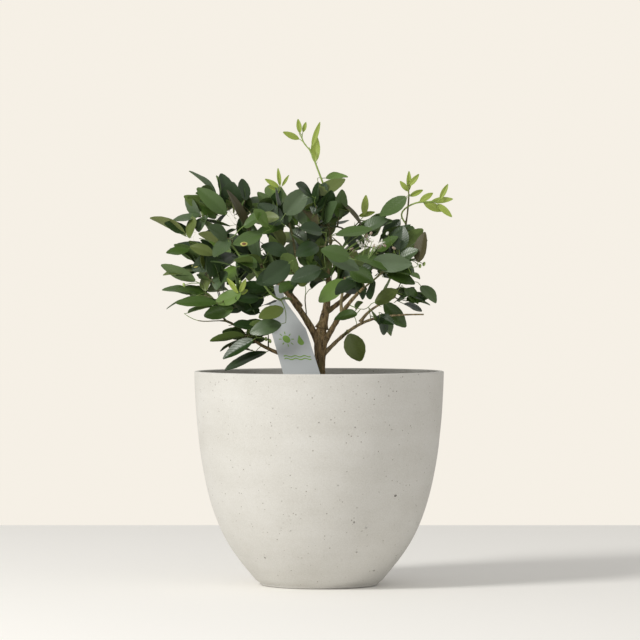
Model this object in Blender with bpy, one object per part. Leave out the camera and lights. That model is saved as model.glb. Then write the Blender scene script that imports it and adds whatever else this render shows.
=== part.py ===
# Potted key lime tree: pot, potting mix, trunk, boughs, masses of foliage and a plant label.
# Metres, +Z up. The pot stands on Z = 0 with its axis on the origin, and -Y is the front.

import math
import random

import bmesh
import bpy
from mathutils import Vector
from mathutils.bvhtree import BVHTree

# Clearance that neighbouring pieces keep
GAP = 0.0003
JOINT_GAP = 0.0009

# Pot: a turned bowl with a nearly upright lip
RIM_RADIUS = 0.1400
BASE_RADIUS = 0.0670
POT_HEIGHT = 0.2394
WALL = 0.0055
FLOOR = 0.0100
BASE_EDGE = 0.0030
LIP_EDGE = 0.0012
BELLY_LOW = (0.0949, 0.0373)
BELLY_HIGH = (0.1352, 0.0603)
TURN_STEPS = 40
WALL_RINGS = 9
WALL_CROWDING = 1.3
FOOT_ROUNDING = (0.3, 0.25)
FLOOR_CORNER_RISE = 0.0060
FLOOR_CORNER_REACH = 0.0080
HEIGHT_SEARCH_STEPS = 40
SLOPE_STEP = 0.001
SMOOTH_TURNED = math.radians(35)

# Potting mix
SOIL_LEVEL = 0.2110
SOIL_RINGS = 5
SOIL_CLEARANCE = 0.0016
SOIL_FOOT_RISE = 0.0120
SOIL_FOOT_REACH = 0.0140

# Trunk: flat cut on the potting mix, root flare, swelling at the fork
TRUNK_FOOT = Vector((0.0030, 0.0000, SOIL_LEVEL + GAP))
TRUNK_TOP = Vector((0.0029, 0.0000, 0.2925))
TRUNK_FLARE = 0.0090
TRUNK_WAIST = 0.0056
TRUNK_FORK = 0.0072
TRUNK_END = 0.0051
FLARE_HEIGHT = 0.0140
SWELLING_START = 0.40
FORK_SHARE = 0.76
TRUNK_BOW = 0.0018
TRUNK_SIDES = 12
TRUNK_SHARES = (0.0, 0.06, 0.12, 0.20, 0.40, 0.55, 0.66, FORK_SHARE, 0.88, 1.0)
SMOOTH_WOOD = math.radians(50)

# Limbs: where each leaves and arrives, its heading (degrees round Z from +X, degrees of climb)
# at both ends, how far it holds those headings, and its radius at both ends
LIMB_SIDES = 8
LIMB_RINGS = 7
FINE_RINGS_EACH = 4
CAP_WIDTHS = (1.0, 0.66, 0.33)
STEEPEST_GLANCE = 0.3
LIMBS = {
    "bough_centre": dict(start=(0.0029, 0.000, 0.2942), end=(0.0100, 0.012, 0.3520), leaves=(10, 76),
                         arrives=(120, 84), hold=0.40, radius=(0.0049, 0.0025),
                         base=None, into="foliage_centre"),
    "bough_centre_right": dict(start=(0.0070, 0.003, 0.3050), end=(0.0740, 0.076, 0.3780), leaves=(25, 32),
                               arrives=(58, 44), hold=0.35, radius=(0.0029, 0.0019),
                               base=("bough_centre",), into="foliage_back_right"),
    "bough_left": dict(start=(0.0010, 0.000, 0.2690), end=(-0.0660, 0.000, 0.3570), leaves=(180, 64),
                       arrives=(180, 41), hold=0.35, radius=(0.0042, 0.0025),
                       base=("trunk", "bough_centre"), into="foliage_centre_left"),
    "bough_right": dict(start=(0.0020, -0.001, 0.2650), end=(0.0501, -0.030, 0.3330), leaves=(-30, 56),
                        arrives=(-32, 36), hold=0.35, radius=(0.0037, 0.0023),
                        base=("trunk", "bough_centre"), into="foliage_centre_right"),
    "bough_right_upright": dict(start=(0.0268, -0.016, 0.3062), end=(0.0285, -0.016, 0.3450), leaves=(150, 70),
                                arrives=(0, 88), hold=0.35, radius=(0.0018, 0.0015),
                                base=("bough_right",), into="foliage_centre_right"),
    "bough_lower_right": dict(start=(0.0028, 0.001, 0.2556), end=(0.1177, 0.010, 0.3027), leaves=(4, 47),
                              arrives=(4, 0), hold=0.47, radius=(0.0024, 0.0008),
                              base=("trunk", "bough_centre"), into=None),
    "bough_lower_right_branch": dict(start=(0.0470, 0.004, 0.2950), end=(0.0850, 0.006, 0.3220),
                                     leaves=(4, 62), arrives=(4, 24), hold=0.35, radius=(0.0017, 0.0012),
                                     base=("bough_lower_right",), into="foliage_lower_right"),
    "bough_lower_left": dict(start=(0.0010, -0.001, 0.2520), end=(-0.0820, -0.010, 0.2800), leaves=(186, 3),
                             arrives=(186, 36), hold=0.40, radius=(0.0030, 0.0018),
                             base=("trunk", "bough_centre"), into="foliage_lower_left"),
    "bough_back_left": dict(start=(-0.0240, 0.000, 0.3130), end=(-0.0900, 0.078, 0.3780), leaves=(118, 40),
                            arrives=(130, 36), hold=0.35, radius=(0.0026, 0.0017),
                            base=("bough_left",), into="foliage_back_left"),
    "shoot_top": dict(start=(0.0100, 0.000, 0.4398), end=(-0.0118, 0.000, 0.4900), leaves=(180, 68),
                      arrives=(180, 64), hold=0.35, radius=(0.0011, 0.0008),
                      base=("foliage_top",), into="foliage_top_shoot"),
}

# Masses of foliage: middle, half sizes along X, Y and Z, fineness, and the ways (degrees round Z,
# degrees of climb) in which the mass is drawn out to a tip
MASSES = {
    "foliage_left_tip": dict(middle=(-0.1617, -0.0100, 0.4009), half=(0.0280, 0.0240, 0.0202), fine=2,
                             tips=[(180, 16)]),
    "foliage_upper_left": dict(middle=(-0.1145, 0.0000, 0.4251), half=(0.0348, 0.0460, 0.0387), fine=3,
                               tips=[(170, 50), (20, 35)]),
    "foliage_left": dict(middle=(-0.1415, 0.0000, 0.3600), half=(0.0370, 0.0460, 0.0280), fine=3,
                         tips=[(180, 12)]),
    "foliage_left_low": dict(middle=(-0.1350, -0.0050, 0.3218), half=(0.0413, 0.0360, 0.0208), fine=3,
                             tips=[(176, 18), (184, -22)]),
    "foliage_low_centre": dict(middle=(-0.0790, 0.0020, 0.3215), half=(0.0290, 0.0320, 0.0215), fine=2,
                               tips=[]),
    "foliage_lower_left": dict(middle=(-0.0882, -0.015, 0.2674), half=(0.0353, 0.026, 0.0282), fine=3,
                               tips=[(180, 12), (190, -70)]),
    "foliage_centre_left": dict(middle=(-0.0641, 0.000, 0.3735), half=(0.0380, 0.040, 0.0300), fine=3,
                                tips=[]),
    "foliage_top_left": dict(middle=(-0.0483, 0.000, 0.4335), half=(0.0340, 0.048, 0.0310), fine=3,
                             tips=[(150, 65)]),
    "foliage_top": dict(middle=(0.0066, 0.005, 0.4279), half=(0.0300, 0.048, 0.0350), fine=3,
                        tips=[(0, 50)]),
    "foliage_top_shoot": dict(middle=(-0.0169, 0.000, 0.4968), half=(0.0236, 0.014, 0.0230), fine=2,
                              tips=[(180, 40), (0, 62)]),
    "foliage_centre": dict(middle=(-0.0012, 0.015, 0.3605), half=(0.0300, 0.038, 0.0300), fine=3,
                           tips=[]),
    "foliage_upper_right": dict(middle=(0.0582, 0.005, 0.4020), half=(0.0280, 0.042, 0.0250), fine=3,
                                tips=[(170, 60)]),
    "foliage_right_shoot": dict(middle=(0.1087, 0.0000, 0.4363), half=(0.0404, 0.0200, 0.0275), fine=3,
                                tips=[(0, 15), (165, 45), (200, -20)]),
    "foliage_right": dict(middle=(0.0952, -0.005, 0.3707), half=(0.0314, 0.044, 0.0359), fine=3,
                          tips=[(0, 38)]),
    "foliage_centre_right": dict(middle=(0.0425, -0.012, 0.3493), half=(0.0260, 0.042, 0.0300), fine=3,
                                 tips=[]),
    "foliage_lower_right": dict(middle=(0.0975, 0.005, 0.3215), half=(0.0359, 0.028, 0.0155), fine=2,
                                tips=[(0, 5)]),
    "foliage_right_hanging": dict(middle=(0.0807, -0.005, 0.2882), half=(0.0168, 0.014, 0.0112), fine=2,
                                  tips=[(0, -50)]),
    "foliage_low_leaf": dict(middle=(0.0440, 0.0000, 0.2666), half=(0.0112, 0.0050, 0.0160), fine=2,
                             tips=[]),
    "foliage_front_left": dict(middle=(-0.0770, -0.0680, 0.3640), half=(0.0400, 0.0380, 0.0370), fine=3,
                               tips=[(250, 10)]),
    "foliage_front_centre": dict(middle=(-0.0120, -0.0740, 0.3800), half=(0.0340, 0.0340, 0.0340), fine=2,
                                 tips=[(270, 20)]),
    "foliage_front_right": dict(middle=(0.0500, -0.0680, 0.3600), half=(0.0380, 0.0380, 0.0340), fine=3,
                                tips=[(290, 0)]),
    "foliage_back_left": dict(middle=(-0.0900, 0.0780, 0.3780), half=(0.0500, 0.0440, 0.0420), fine=3,
                              tips=[(120, 10)]),
    "foliage_back_centre": dict(middle=(-0.0080, 0.0880, 0.4000), half=(0.0440, 0.0420, 0.0420), fine=3,
                                tips=[(85, 20)]),
    "foliage_back_right": dict(middle=(0.0740, 0.0760, 0.3780), half=(0.0440, 0.0420, 0.0380), fine=3,
                               tips=[(55, 5)]),
}
BUMPS = 9
BUMP_HEIGHT = 0.20
BUMP_SPREAD = math.radians(34)
TIP_HEIGHT = 0.38
TIP_SPREAD = math.radians(17)

# Plant label: a plastic plate with a narrow neck, stuck in the potting mix, leaning left and back
LABEL_FOOT = Vector((-0.0111, -0.0300, SOIL_LEVEL + GAP))
LABEL_LENGTH = 0.1246
LABEL_WIDTH = 0.0421
LABEL_RIGHT_SHOULDER = 0.0752
LABEL_RIGHT_NARROWING = 0.88
LABEL_LEFT_SHOULDER = 0.0870
LABEL_NECK_START = 0.1060
LABEL_NECK_WIDTH = 0.0092
LABEL_THICKNESS = 0.0008
LABEL_LEAN_SIDE = math.radians(-15.9)
LABEL_LEAN_BACK = math.radians(7.0)
ROUND_STEPS = 5

# Colour, roughness and metallic value of each material
CONCRETE = ("concrete", (0.70, 0.68, 0.64), 0.85, 0.0)
POTTING_MIX = ("potting_mix", (0.07, 0.05, 0.035), 0.95, 0.0)
BARK = ("bark", (0.27, 0.20, 0.13), 0.85, 0.0)
YOUNG_WOOD = ("young_wood", (0.24, 0.33, 0.09), 0.60, 0.0)
LEAVES = ("leaves", (0.06, 0.15, 0.05), 0.45, 0.0)
YOUNG_LEAVES = ("young_leaves", (0.33, 0.48, 0.08), 0.45, 0.0)
PLASTIC = ("label_plastic", (0.62, 0.66, 0.70), 0.45, 0.0)
YOUNG_NODES = ("foliage_top_shoot", "foliage_right_shoot")


def clear_scene():
    for item in list(bpy.data.objects):
        bpy.data.objects.remove(item, do_unlink=True)


def material_of(kind):
    name, colour, roughness, metallic = kind
    found = bpy.data.materials.get(name)
    if found:
        return found
    made = bpy.data.materials.new(name)
    made.use_nodes = True
    shader = made.node_tree.nodes["Principled BSDF"]
    shader.inputs["Base Color"].default_value = (*colour, 1.0)
    shader.inputs["Roughness"].default_value = roughness
    shader.inputs["Metallic"].default_value = metallic
    return made


def add_object(name, bm, kind, smooth_angle=None):
    bmesh.ops.recalc_face_normals(bm, faces=bm.faces)
    mesh = bpy.data.meshes.new(name)
    bm.to_mesh(mesh)
    bm.free()
    if smooth_angle is not None:
        mesh.shade_smooth()
        mesh.set_sharp_from_angle(angle=smooth_angle)
    mesh.materials.append(material_of(kind))
    made = bpy.data.objects.new(name, mesh)
    bpy.context.collection.objects.link(made)
    return made


def surface_of(made):
    mesh = made.data
    points = [corner.co.copy() for corner in mesh.vertices]
    faces = [tuple(face.vertices) for face in mesh.polygons]
    return BVHTree.FromPolygons(points, faces)


def mix(first, last, share):
    return first + (last - first) * share


def smooth_share(share):
    share = min(1.0, max(0.0, share))
    return share * share * (3 - 2 * share)


def heading(turn, climb):
    turn = math.radians(turn)
    climb = math.radians(climb)
    return Vector((math.cos(turn) * math.cos(climb), math.sin(turn) * math.cos(climb), math.sin(climb)))


# Pot and potting mix

def pot_curve(share):
    """Radius and height of the bowl's outside, from the foot (0) to the lip (1)."""
    points = ((BASE_RADIUS, 0.0), BELLY_LOW, BELLY_HIGH, (RIM_RADIUS, POT_HEIGHT))
    weights = ((1 - share) ** 3, 3 * share * (1 - share) ** 2, 3 * share**2 * (1 - share), share**3)
    return tuple(sum(w * p[axis] for w, p in zip(weights, points)) for axis in (0, 1))


def outer_radius(height):
    low, high = 0.0, 1.0
    for _ in range(HEIGHT_SEARCH_STEPS):
        middle = (low + high) / 2
        if pot_curve(middle)[1] < height:
            low = middle
        else:
            high = middle
    return pot_curve(low)[0]


def inner_radius(height):
    """The inside follows the outside, square to the wall."""
    rise = outer_radius(height + SLOPE_STEP) - outer_radius(height - SLOPE_STEP)
    slope = rise / (2 * SLOPE_STEP)
    return outer_radius(height) - WALL * math.sqrt(1 + slope * slope)


def turned(profile):
    """A closed solid turned from radius and height pairs that run from axis to axis."""
    bm = bmesh.new()
    corners = [bm.verts.new((radius, 0, height)) for radius, height in profile]
    edges = [bm.edges.new(pair) for pair in zip(corners, corners[1:])]
    bmesh.ops.spin(bm, geom=corners + edges, cent=(0, 0, 0), axis=(0, 0, 1), angle=2 * math.pi,
                   steps=TURN_STEPS, use_merge=True)
    bmesh.ops.remove_doubles(bm, verts=bm.verts, dist=1e-6)
    return bm


def build_pot():
    top = POT_HEIGHT
    shares = [ring / WALL_RINGS for ring in range(WALL_RINGS + 1)]
    heights = [mix(BASE_EDGE, top - LIP_EDGE, share**WALL_CROWDING) for share in shares]
    outside = [(outer_radius(height), height) for height in heights]
    outside[-1] = (RIM_RADIUS, outside[-1][1])
    inward, upward = FOOT_ROUNDING
    rounding = (BASE_RADIUS - BASE_EDGE * inward, BASE_EDGE * upward)
    bottom = [(0.0, 0.0), (BASE_RADIUS - BASE_EDGE, 0.0), rounding]
    lip = [(RIM_RADIUS - LIP_EDGE, top), (RIM_RADIUS - WALL + LIP_EDGE, top)]
    lowest = FLOOR + FLOOR_CORNER_RISE
    inside_heights = [mix(lowest, top - LIP_EDGE, share) for share in shares]
    inside = [(inner_radius(height), height) for height in reversed(inside_heights)]
    corner = (inner_radius(lowest) - FLOOR_CORNER_REACH, FLOOR)
    profile = bottom + outside + lip + inside + [corner, (0.0, FLOOR)]
    return add_object("pot", turned(profile), CONCRETE, SMOOTH_TURNED)


def build_soil():
    low = FLOOR + SOIL_FOOT_RISE
    heights = [mix(low, SOIL_LEVEL, ring / SOIL_RINGS) for ring in range(SOIL_RINGS + 1)]
    side = [(inner_radius(height) - SOIL_CLEARANCE, height) for height in heights]
    foot = FLOOR + GAP * 2
    foot_edge = (side[0][0] - SOIL_FOOT_REACH, foot)
    profile = [(0.0, foot), foot_edge] + side + [(0.0, SOIL_LEVEL)]
    return add_object("soil", turned(profile), POTTING_MIX, SMOOTH_TURNED)


# Trunk and limbs

def frames_along(points):
    """A side and an up vector at each point, carried along without twisting."""
    frames = []
    side = None
    for place, point in enumerate(points):
        before = points[max(place - 1, 0)]
        after = points[min(place + 1, len(points) - 1)]
        ahead = (after - before).normalized()
        if side is None:
            side = ahead.orthogonal().normalized()
        side = (side - ahead * side.dot(ahead)).normalized()
        frames.append((side, ahead.cross(side)))
    return frames


def ring_at(point, frame, radius, sides):
    side, up = frame
    turns = [2 * math.pi * place / sides for place in range(sides)]
    return [point + (side * math.cos(turn) + up * math.sin(turn)) * radius for turn in turns]


def trunk_radius(share):
    height = share * (TRUNK_TOP.z - TRUNK_FOOT.z)
    flare = (TRUNK_FLARE - TRUNK_WAIST) * (1 - smooth_share(height / FLARE_HEIGHT))
    swollen = smooth_share((share - SWELLING_START) / (FORK_SHARE - SWELLING_START))
    swelling = (TRUNK_FORK - TRUNK_WAIST) * swollen
    narrowing = (TRUNK_FORK - TRUNK_END) * smooth_share((share - FORK_SHARE) / (1 - FORK_SHARE))
    return TRUNK_WAIST + flare + swelling - narrowing


def bridged(rings, first_cap=(), last_cap=()):
    """A closed tube through the rings. A cap is its rings from the tube's end inwards, then its middle."""
    bm = bmesh.new()
    grid = [[bm.verts.new(point) for point in ring] for ring in rings]

    def bridge(lower, upper):
        count = len(lower)
        for place in range(count):
            after = (place + 1) % count
            bm.faces.new((lower[place], lower[after], upper[after], upper[place]))

    def close(edge, cap):
        for ring in cap[:-1]:
            inner = [bm.verts.new(point) for point in ring]
            bridge(edge, inner)
            edge = inner
        middle = bm.verts.new(cap[-1])
        for place in range(len(edge)):
            bm.faces.new((edge[place], edge[(place + 1) % len(edge)], middle))

    for lower, upper in zip(grid, grid[1:]):
        bridge(lower, upper)
    if first_cap:
        close(grid[0], first_cap)
    else:
        bm.faces.new(grid[0])
    if last_cap:
        close(grid[-1], last_cap)
    else:
        bm.faces.new(grid[-1])
    return bm


def build_trunk():
    frame = (Vector((1, 0, 0)), Vector((0, 1, 0)))
    rings = []
    for share in TRUNK_SHARES:
        centre = TRUNK_FOOT.lerp(TRUNK_TOP, share)
        centre.x -= TRUNK_BOW * math.sin(math.pi * share)
        rings.append(ring_at(centre, frame, trunk_radius(share), TRUNK_SIDES))
    return add_object("trunk", bridged(rings), BARK, SMOOTH_WOOD)


def limb_points(limb, count):
    """The limb's middle line: a curve that leaves and arrives on its two headings."""
    start, end = Vector(limb["start"]), Vector(limb["end"])
    hold = (end - start).length * limb["hold"]
    first = start + heading(*limb["leaves"]) * hold
    last = end - heading(*limb["arrives"]) * hold
    points = []
    for place in range(count):
        t = place / (count - 1)
        near = start * (1 - t) ** 3 + first * 3 * t * (1 - t) ** 2
        far = last * 3 * t * t * (1 - t) + end * t**3
        points.append(near + far)
    return points


def met(surfaces, origin, target):
    """Where the way from origin to target meets a surface, drawn back to leave the joint's gap."""
    way = target - origin
    ahead = way.normalized()
    hits = [surface.ray_cast(origin, ahead, way.length) for surface in surfaces]
    hits = [(distance, hit, normal) for hit, normal, _, distance in hits if hit is not None]
    if not hits:
        return None
    _, hit, normal = min(hits, key=lambda found: found[0])
    return hit - ahead * JOINT_GAP / max(abs(ahead.dot(normal)), STEEPEST_GLANCE)


def fitted_end(rings, surfaces):
    """Cuts the rings' last ones off at their neighbours: the rings kept, and a cap that follows them."""
    def meeting(line):
        for place in range(len(line) - 1):
            found = met(surfaces, line[place], line[place + 1])
            if found is not None:
                return place, found
        return len(line) - 1, line[-1]

    count = len(rings[0])
    middles = [sum(ring, Vector()) / count for ring in rings]
    found = []
    for width in CAP_WIDTHS:
        narrowed = [[middle.lerp(point, width) for point in ring] for middle, ring in zip(middles, rings)]
        found.append([meeting(list(line)) for line in zip(*narrowed)])
    centre = meeting(middles)
    last = max(1, min(place for place, _ in sum(found, [centre])))
    edge, *cap = [[point for _, point in ring] for ring in found]
    return rings[:last] + [edge], cap + [centre[1]]


def build_limb(name, limb, surfaces):
    # More rings than are kept, so that each end is cut close to its neighbour
    fine = FINE_RINGS_EACH * LIMB_RINGS + 1
    points = limb_points(limb, fine)
    frames = frames_along(points)
    radius = limb["radius"]
    rings = [ring_at(points[place], frames[place], mix(*radius, place / (fine - 1)), LIMB_SIDES)
             for place in range(fine)]
    first_cap = last_cap = ()
    if limb["into"]:
        rings, last_cap = fitted_end(rings, [surfaces[limb["into"]]])
    if limb["base"]:
        flipped, first_cap = fitted_end(rings[::-1], [surfaces[base] for base in limb["base"]])
        rings = flipped[::-1]
    kept = [rings[0]] + rings[2:-2:FINE_RINGS_EACH] + [rings[-1]]
    kind = YOUNG_WOOD if name.startswith("shoot") else BARK
    return add_object(name, bridged(kept, first_cap, last_cap), kind, SMOOTH_WOOD)


# Foliage

def parting(mass, other):
    """The way to another mass, and how far this one may reach in that way."""
    way = Vector(other["middle"]) - Vector(mass["middle"])
    apart = way.length
    way.normalize()
    own, theirs = (math.sqrt(sum((h * w) ** 2 for h, w in zip(m["half"], way))) for m in (mass, other))
    return way, apart * own / (own + theirs) - GAP


def swell(direction, bumps, spread):
    total = 0.0
    for way, height in bumps:
        angle = direction.angle(way)
        total += height * math.exp(-((angle / spread) ** 2))
    return total


def build_mass(name, mass):
    """One closed, uneven solid: an ellipsoid with bumps and drawn-out tips, parted from its neighbours."""
    chance = random.Random(name)
    middle = Vector(mass["middle"])
    bumps = []
    for _ in range(BUMPS):
        way = Vector([chance.gauss(0, 1) for _ in range(3)]).normalized()
        bumps.append((way, BUMP_HEIGHT * chance.uniform(-1, 1)))
    tips = [(heading(*tip), TIP_HEIGHT) for tip in mass["tips"]]

    bm = bmesh.new()
    bmesh.ops.create_icosphere(bm, subdivisions=mass["fine"], radius=1.0)
    for corner in bm.verts:
        way = corner.co.normalized()
        reach = 1.0 + swell(way, bumps, BUMP_SPREAD) + swell(way, tips, TIP_SPREAD)
        corner.co = way * reach
    # The bumps are evened out to the mass's stated sizes
    for axis in range(3):
        low = min(corner.co[axis] for corner in bm.verts)
        high = max(corner.co[axis] for corner in bm.verts)
        for corner in bm.verts:
            corner.co[axis] = ((corner.co[axis] - low) / (high - low) * 2 - 1) * mass["half"][axis]

    partings = [parting(mass, other) for key, other in MASSES.items() if key != name]
    for corner in bm.verts:
        scale = 1.0
        for way, limit in partings:
            reach = corner.co.dot(way)
            if reach > limit:
                scale = min(scale, limit / reach)
        corner.co = middle + corner.co * scale
    kind = YOUNG_LEAVES if name in YOUNG_NODES else LEAVES
    return add_object(name, bm, kind)


# Label

def label_outline():
    """The plate's outline in its own plane: across, and up from the foot."""
    half, neck = LABEL_WIDTH / 2, LABEL_NECK_WIDTH / 2
    right = [(half, 0.0), (half * LABEL_RIGHT_NARROWING, LABEL_RIGHT_SHOULDER), (neck, LABEL_NECK_START)]
    turns = [math.pi * step / (2 * ROUND_STEPS) for step in range(2 * ROUND_STEPS + 1)]
    tip = [(neck * math.cos(turn), LABEL_LENGTH - neck + neck * math.sin(turn)) for turn in turns]
    rise = LABEL_NECK_START - LABEL_LEFT_SHOULDER
    bends = [math.pi / 2 * step / ROUND_STEPS for step in range(ROUND_STEPS + 1)]
    left = [(-neck - (half - neck) * math.sin(bend), LABEL_LEFT_SHOULDER + rise * math.cos(bend))
            for bend in bends]
    return right + tip + left + [(-half, 0.0)]


def build_label():
    bm = bmesh.new()
    fronts, backs = [], []
    # The foot is level, and the plate leans as a shear above it
    lean = Vector((math.tan(LABEL_LEAN_SIDE), math.tan(LABEL_LEAN_BACK), 1))
    for across, up in label_outline():
        point = LABEL_FOOT + Vector((across, 0, 0)) + lean * up
        fronts.append(bm.verts.new(point))
        backs.append(bm.verts.new(point + Vector((0, LABEL_THICKNESS, 0))))
    bm.faces.new(fronts)
    bm.faces.new(backs[::-1])
    for place in range(len(fronts)):
        after = (place + 1) % len(fronts)
        bm.faces.new((fronts[place], backs[place], backs[after], fronts[after]))
    return add_object("label", bm, PLASTIC)


def main():
    clear_scene()
    build_pot()
    build_soil()
    build_label()
    surfaces = {"trunk": surface_of(build_trunk())}
    for name, mass in MASSES.items():
        surfaces[name] = surface_of(build_mass(name, mass))
    for name, limb in LIMBS.items():
        surfaces[name] = surface_of(build_limb(name, limb, surfaces))


main()
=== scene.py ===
import math
import random

import bmesh
import bpy
import numpy as np
from mathutils import Euler, Matrix, Vector, noise
from mathutils.bvhtree import BVHTree


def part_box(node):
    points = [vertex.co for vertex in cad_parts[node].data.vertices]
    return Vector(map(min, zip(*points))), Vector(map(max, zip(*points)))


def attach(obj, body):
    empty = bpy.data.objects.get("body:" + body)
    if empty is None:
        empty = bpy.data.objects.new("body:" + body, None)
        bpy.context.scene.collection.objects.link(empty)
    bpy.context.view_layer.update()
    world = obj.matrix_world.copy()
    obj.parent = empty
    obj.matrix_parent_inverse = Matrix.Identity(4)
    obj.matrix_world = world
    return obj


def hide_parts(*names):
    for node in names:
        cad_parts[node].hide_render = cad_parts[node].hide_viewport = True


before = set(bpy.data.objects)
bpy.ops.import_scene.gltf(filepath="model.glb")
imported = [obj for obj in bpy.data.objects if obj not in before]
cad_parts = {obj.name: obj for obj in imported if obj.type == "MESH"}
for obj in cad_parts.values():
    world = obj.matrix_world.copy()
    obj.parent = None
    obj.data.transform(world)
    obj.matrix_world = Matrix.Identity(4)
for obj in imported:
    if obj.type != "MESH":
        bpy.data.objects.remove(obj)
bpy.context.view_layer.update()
print("frame loaded")

camera = dict(lens=205.9, sensor=36.0, place=(0.001, -4.105, 0.3446), tilt=89.33, picture=640)
cameraTurn = Euler((math.radians(camera["tilt"]), 0, 0)).to_matrix()
pixel = camera["sensor"] / camera["lens"] / camera["picture"]  # a pixel's width, one metre away


def fromPhoto(across, down, depth):
    # The point that this pixel shows, on the upright plane y = depth
    middle = camera["picture"] / 2
    ray = cameraTurn @ Vector(((across - middle) * pixel, (middle - down) * pixel, -1.0))
    place = Vector(camera["place"])
    return place + ray * ((depth - place.y) / ray.y)


# Shader maths

class Value:
    def __init__(self, nodes, socket):
        self.nodes = nodes
        self.socket = socket

    def maths(self, operation, *others):
        return self.nodes.add("ShaderNodeMath", dict(operation=operation), [self, *others])

    def __add__(self, other):
        return self.maths("ADD", other)

    def __sub__(self, other):
        return self.maths("SUBTRACT", other)

    def __rsub__(self, other):
        return self.nodes.add("ShaderNodeMath", dict(operation="SUBTRACT"), [other, self])

    def __mul__(self, other):
        return self.maths("MULTIPLY", other)

    def __pow__(self, other):
        return self.maths("POWER", other)

    __radd__ = __add__
    __rmul__ = __mul__


class Nodes:
    def __init__(self, tree):
        self.tree = tree

    def add(self, kind, settings, inputs, out=0):
        node = self.tree.nodes.new(kind)
        for key, value in settings.items():
            if key == "stops":
                self.setStops(node.color_ramp, value)
            else:
                setattr(node, key, value)
        pairs = inputs.items() if isinstance(inputs, dict) else enumerate(inputs)
        for key, value in pairs:
            if isinstance(value, Value):
                self.tree.links.new(value.socket, node.inputs[key])
            else:
                node.inputs[key].default_value = value
        return Value(self, node.outputs[out]) if node.outputs else None

    def setStops(self, ramp, stops):
        while len(ramp.elements) < len(stops):
            ramp.elements.new(0.5)
        for element, (place, colour) in zip(ramp.elements, stops):
            element.position = place
            element.color = (*colour, 1.0)


class Paint(Nodes):
    def __init__(self, name, colour, roughness, gloss=0.5):
        self.material = bpy.data.materials.new(name)
        self.material.use_nodes = True
        super().__init__(self.material.node_tree)
        self.shader = self.tree.nodes["Principled BSDF"]
        self.set("Base Color", (*colour, 1.0))
        self.set("Roughness", roughness)
        self.set("Specular IOR Level", gloss)

    def set(self, socket, value):
        target = self.shader.inputs[socket]
        if isinstance(value, Value):
            self.tree.links.new(value.socket, target)
        else:
            target.default_value = value

    def place(self, scale=(1, 1, 1)):
        where = self.add("ShaderNodeTexCoord", {}, {}, "Object")
        return self.add("ShaderNodeMapping", {}, {"Vector": where, "Scale": scale})

    def grain(self, size, scale=(1, 1, 1), detail=4.0, roughness=0.6):
        where = self.place(scale)
        return self.add("ShaderNodeTexNoise", {}, {
            "Vector": where, "Scale": 1.0 / size, "Detail": detail, "Roughness": roughness}, "Fac")

    def between(self, value, low, high):
        return self.add("ShaderNodeMapRange", {}, {"Value": value, "From Min": low, "From Max": high})

    def ramp(self, value, stops):
        return self.add("ShaderNodeValToRGB", dict(stops=stops), {"Fac": value})

    def mixed(self, share, first, colour):
        return self.add("ShaderNodeMix", dict(data_type="RGBA"), {0: share, 6: first, 7: (*colour, 1.0)}, 2)

    def relief(self, height, depth, strength=1.0):
        self.set("Normal", self.add("ShaderNodeBump", {}, {
            "Height": height, "Distance": depth, "Strength": strength}))


# Sizes of the grains are in metres, and a colour ramp's stops are places and colours
# The dark hole colour is painted shade for the insides of the small holes in the cast.
cast = dict(cloud=0.060, bands=0.030, speck=0.0015, lumps=0.004, patches=0.011, cellsPerMetre=210.0,
            cloudShare=0.34, bandShare=0.14, speckShare=0.52, paintedHoleShade=(0.24, 0.21, 0.17), relief=0.00045,
            stops=[(0.36, (0.565, 0.550, 0.508)), (0.50, (0.625, 0.612, 0.575)),
                   (0.64, (0.672, 0.662, 0.632))])
barkLook = dict(strips=0.0030, patches=0.012, flecks=0.0014, fine=0.0009, pale=1.7, mossShare=0.6,
                fleckShare=0.5, fleck=(0.50, 0.42, 0.30), relief=0.0006)
veinLook = dict(count=9.0, sweep=5.0, sharp=6.0, depth=-0.5, pores=0.0012, poreDepth=0.12, relief=0.0004,
                strength=0.40, sheen=0.012, sheenShare=0.14, sheenLow=0.06)


def concretePaint():
    paint = Paint("castConcrete", cast["stops"][1][1], 0.86, 0.3)
    cloud = paint.grain(cast["cloud"], (1, 1, 1.6), 5.0)
    bands = paint.grain(cast["bands"], (0.10, 0.10, 2.2), 3.0)
    speck = paint.grain(cast["speck"], detail=3.0, roughness=0.75)
    tone = cloud * cast["cloudShare"] + bands * cast["bandShare"] + speck * cast["speckShare"]
    cellInputs = {"Vector": paint.place(), "Scale": cast["cellsPerMetre"]}
    cells = paint.add("ShaderNodeTexVoronoi", {}, cellInputs, "Distance")
    sparse = paint.between(paint.grain(cast["patches"], detail=1.0), 0.50, 0.62)
    # Sparse small holes: the relief sinks them, and the dark colour mixed into them is painted shade.
    holeReliefAndShade = paint.between(cells, 0.15, 0.09) * sparse
    paint.set("Base Color", paint.mixed(holeReliefAndShade, paint.ramp(tone, cast["stops"]), cast["paintedHoleShade"]))
    paint.set("Roughness", 0.80 + cloud * 0.14)
    height = speck * 0.35 + paint.grain(cast["lumps"]) * 0.5 - holeReliefAndShade * 1.2
    paint.relief(height, cast["relief"], 0.7)
    return paint.material


def soilPaint(name, dark, pale):
    paint = Paint(name, dark, 0.95)
    tone = paint.grain(0.006, detail=5.0)
    paint.set("Base Color", paint.ramp(tone, [(0.35, dark), (0.68, pale)]))
    paint.relief(tone, 0.002)
    return paint.material


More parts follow.
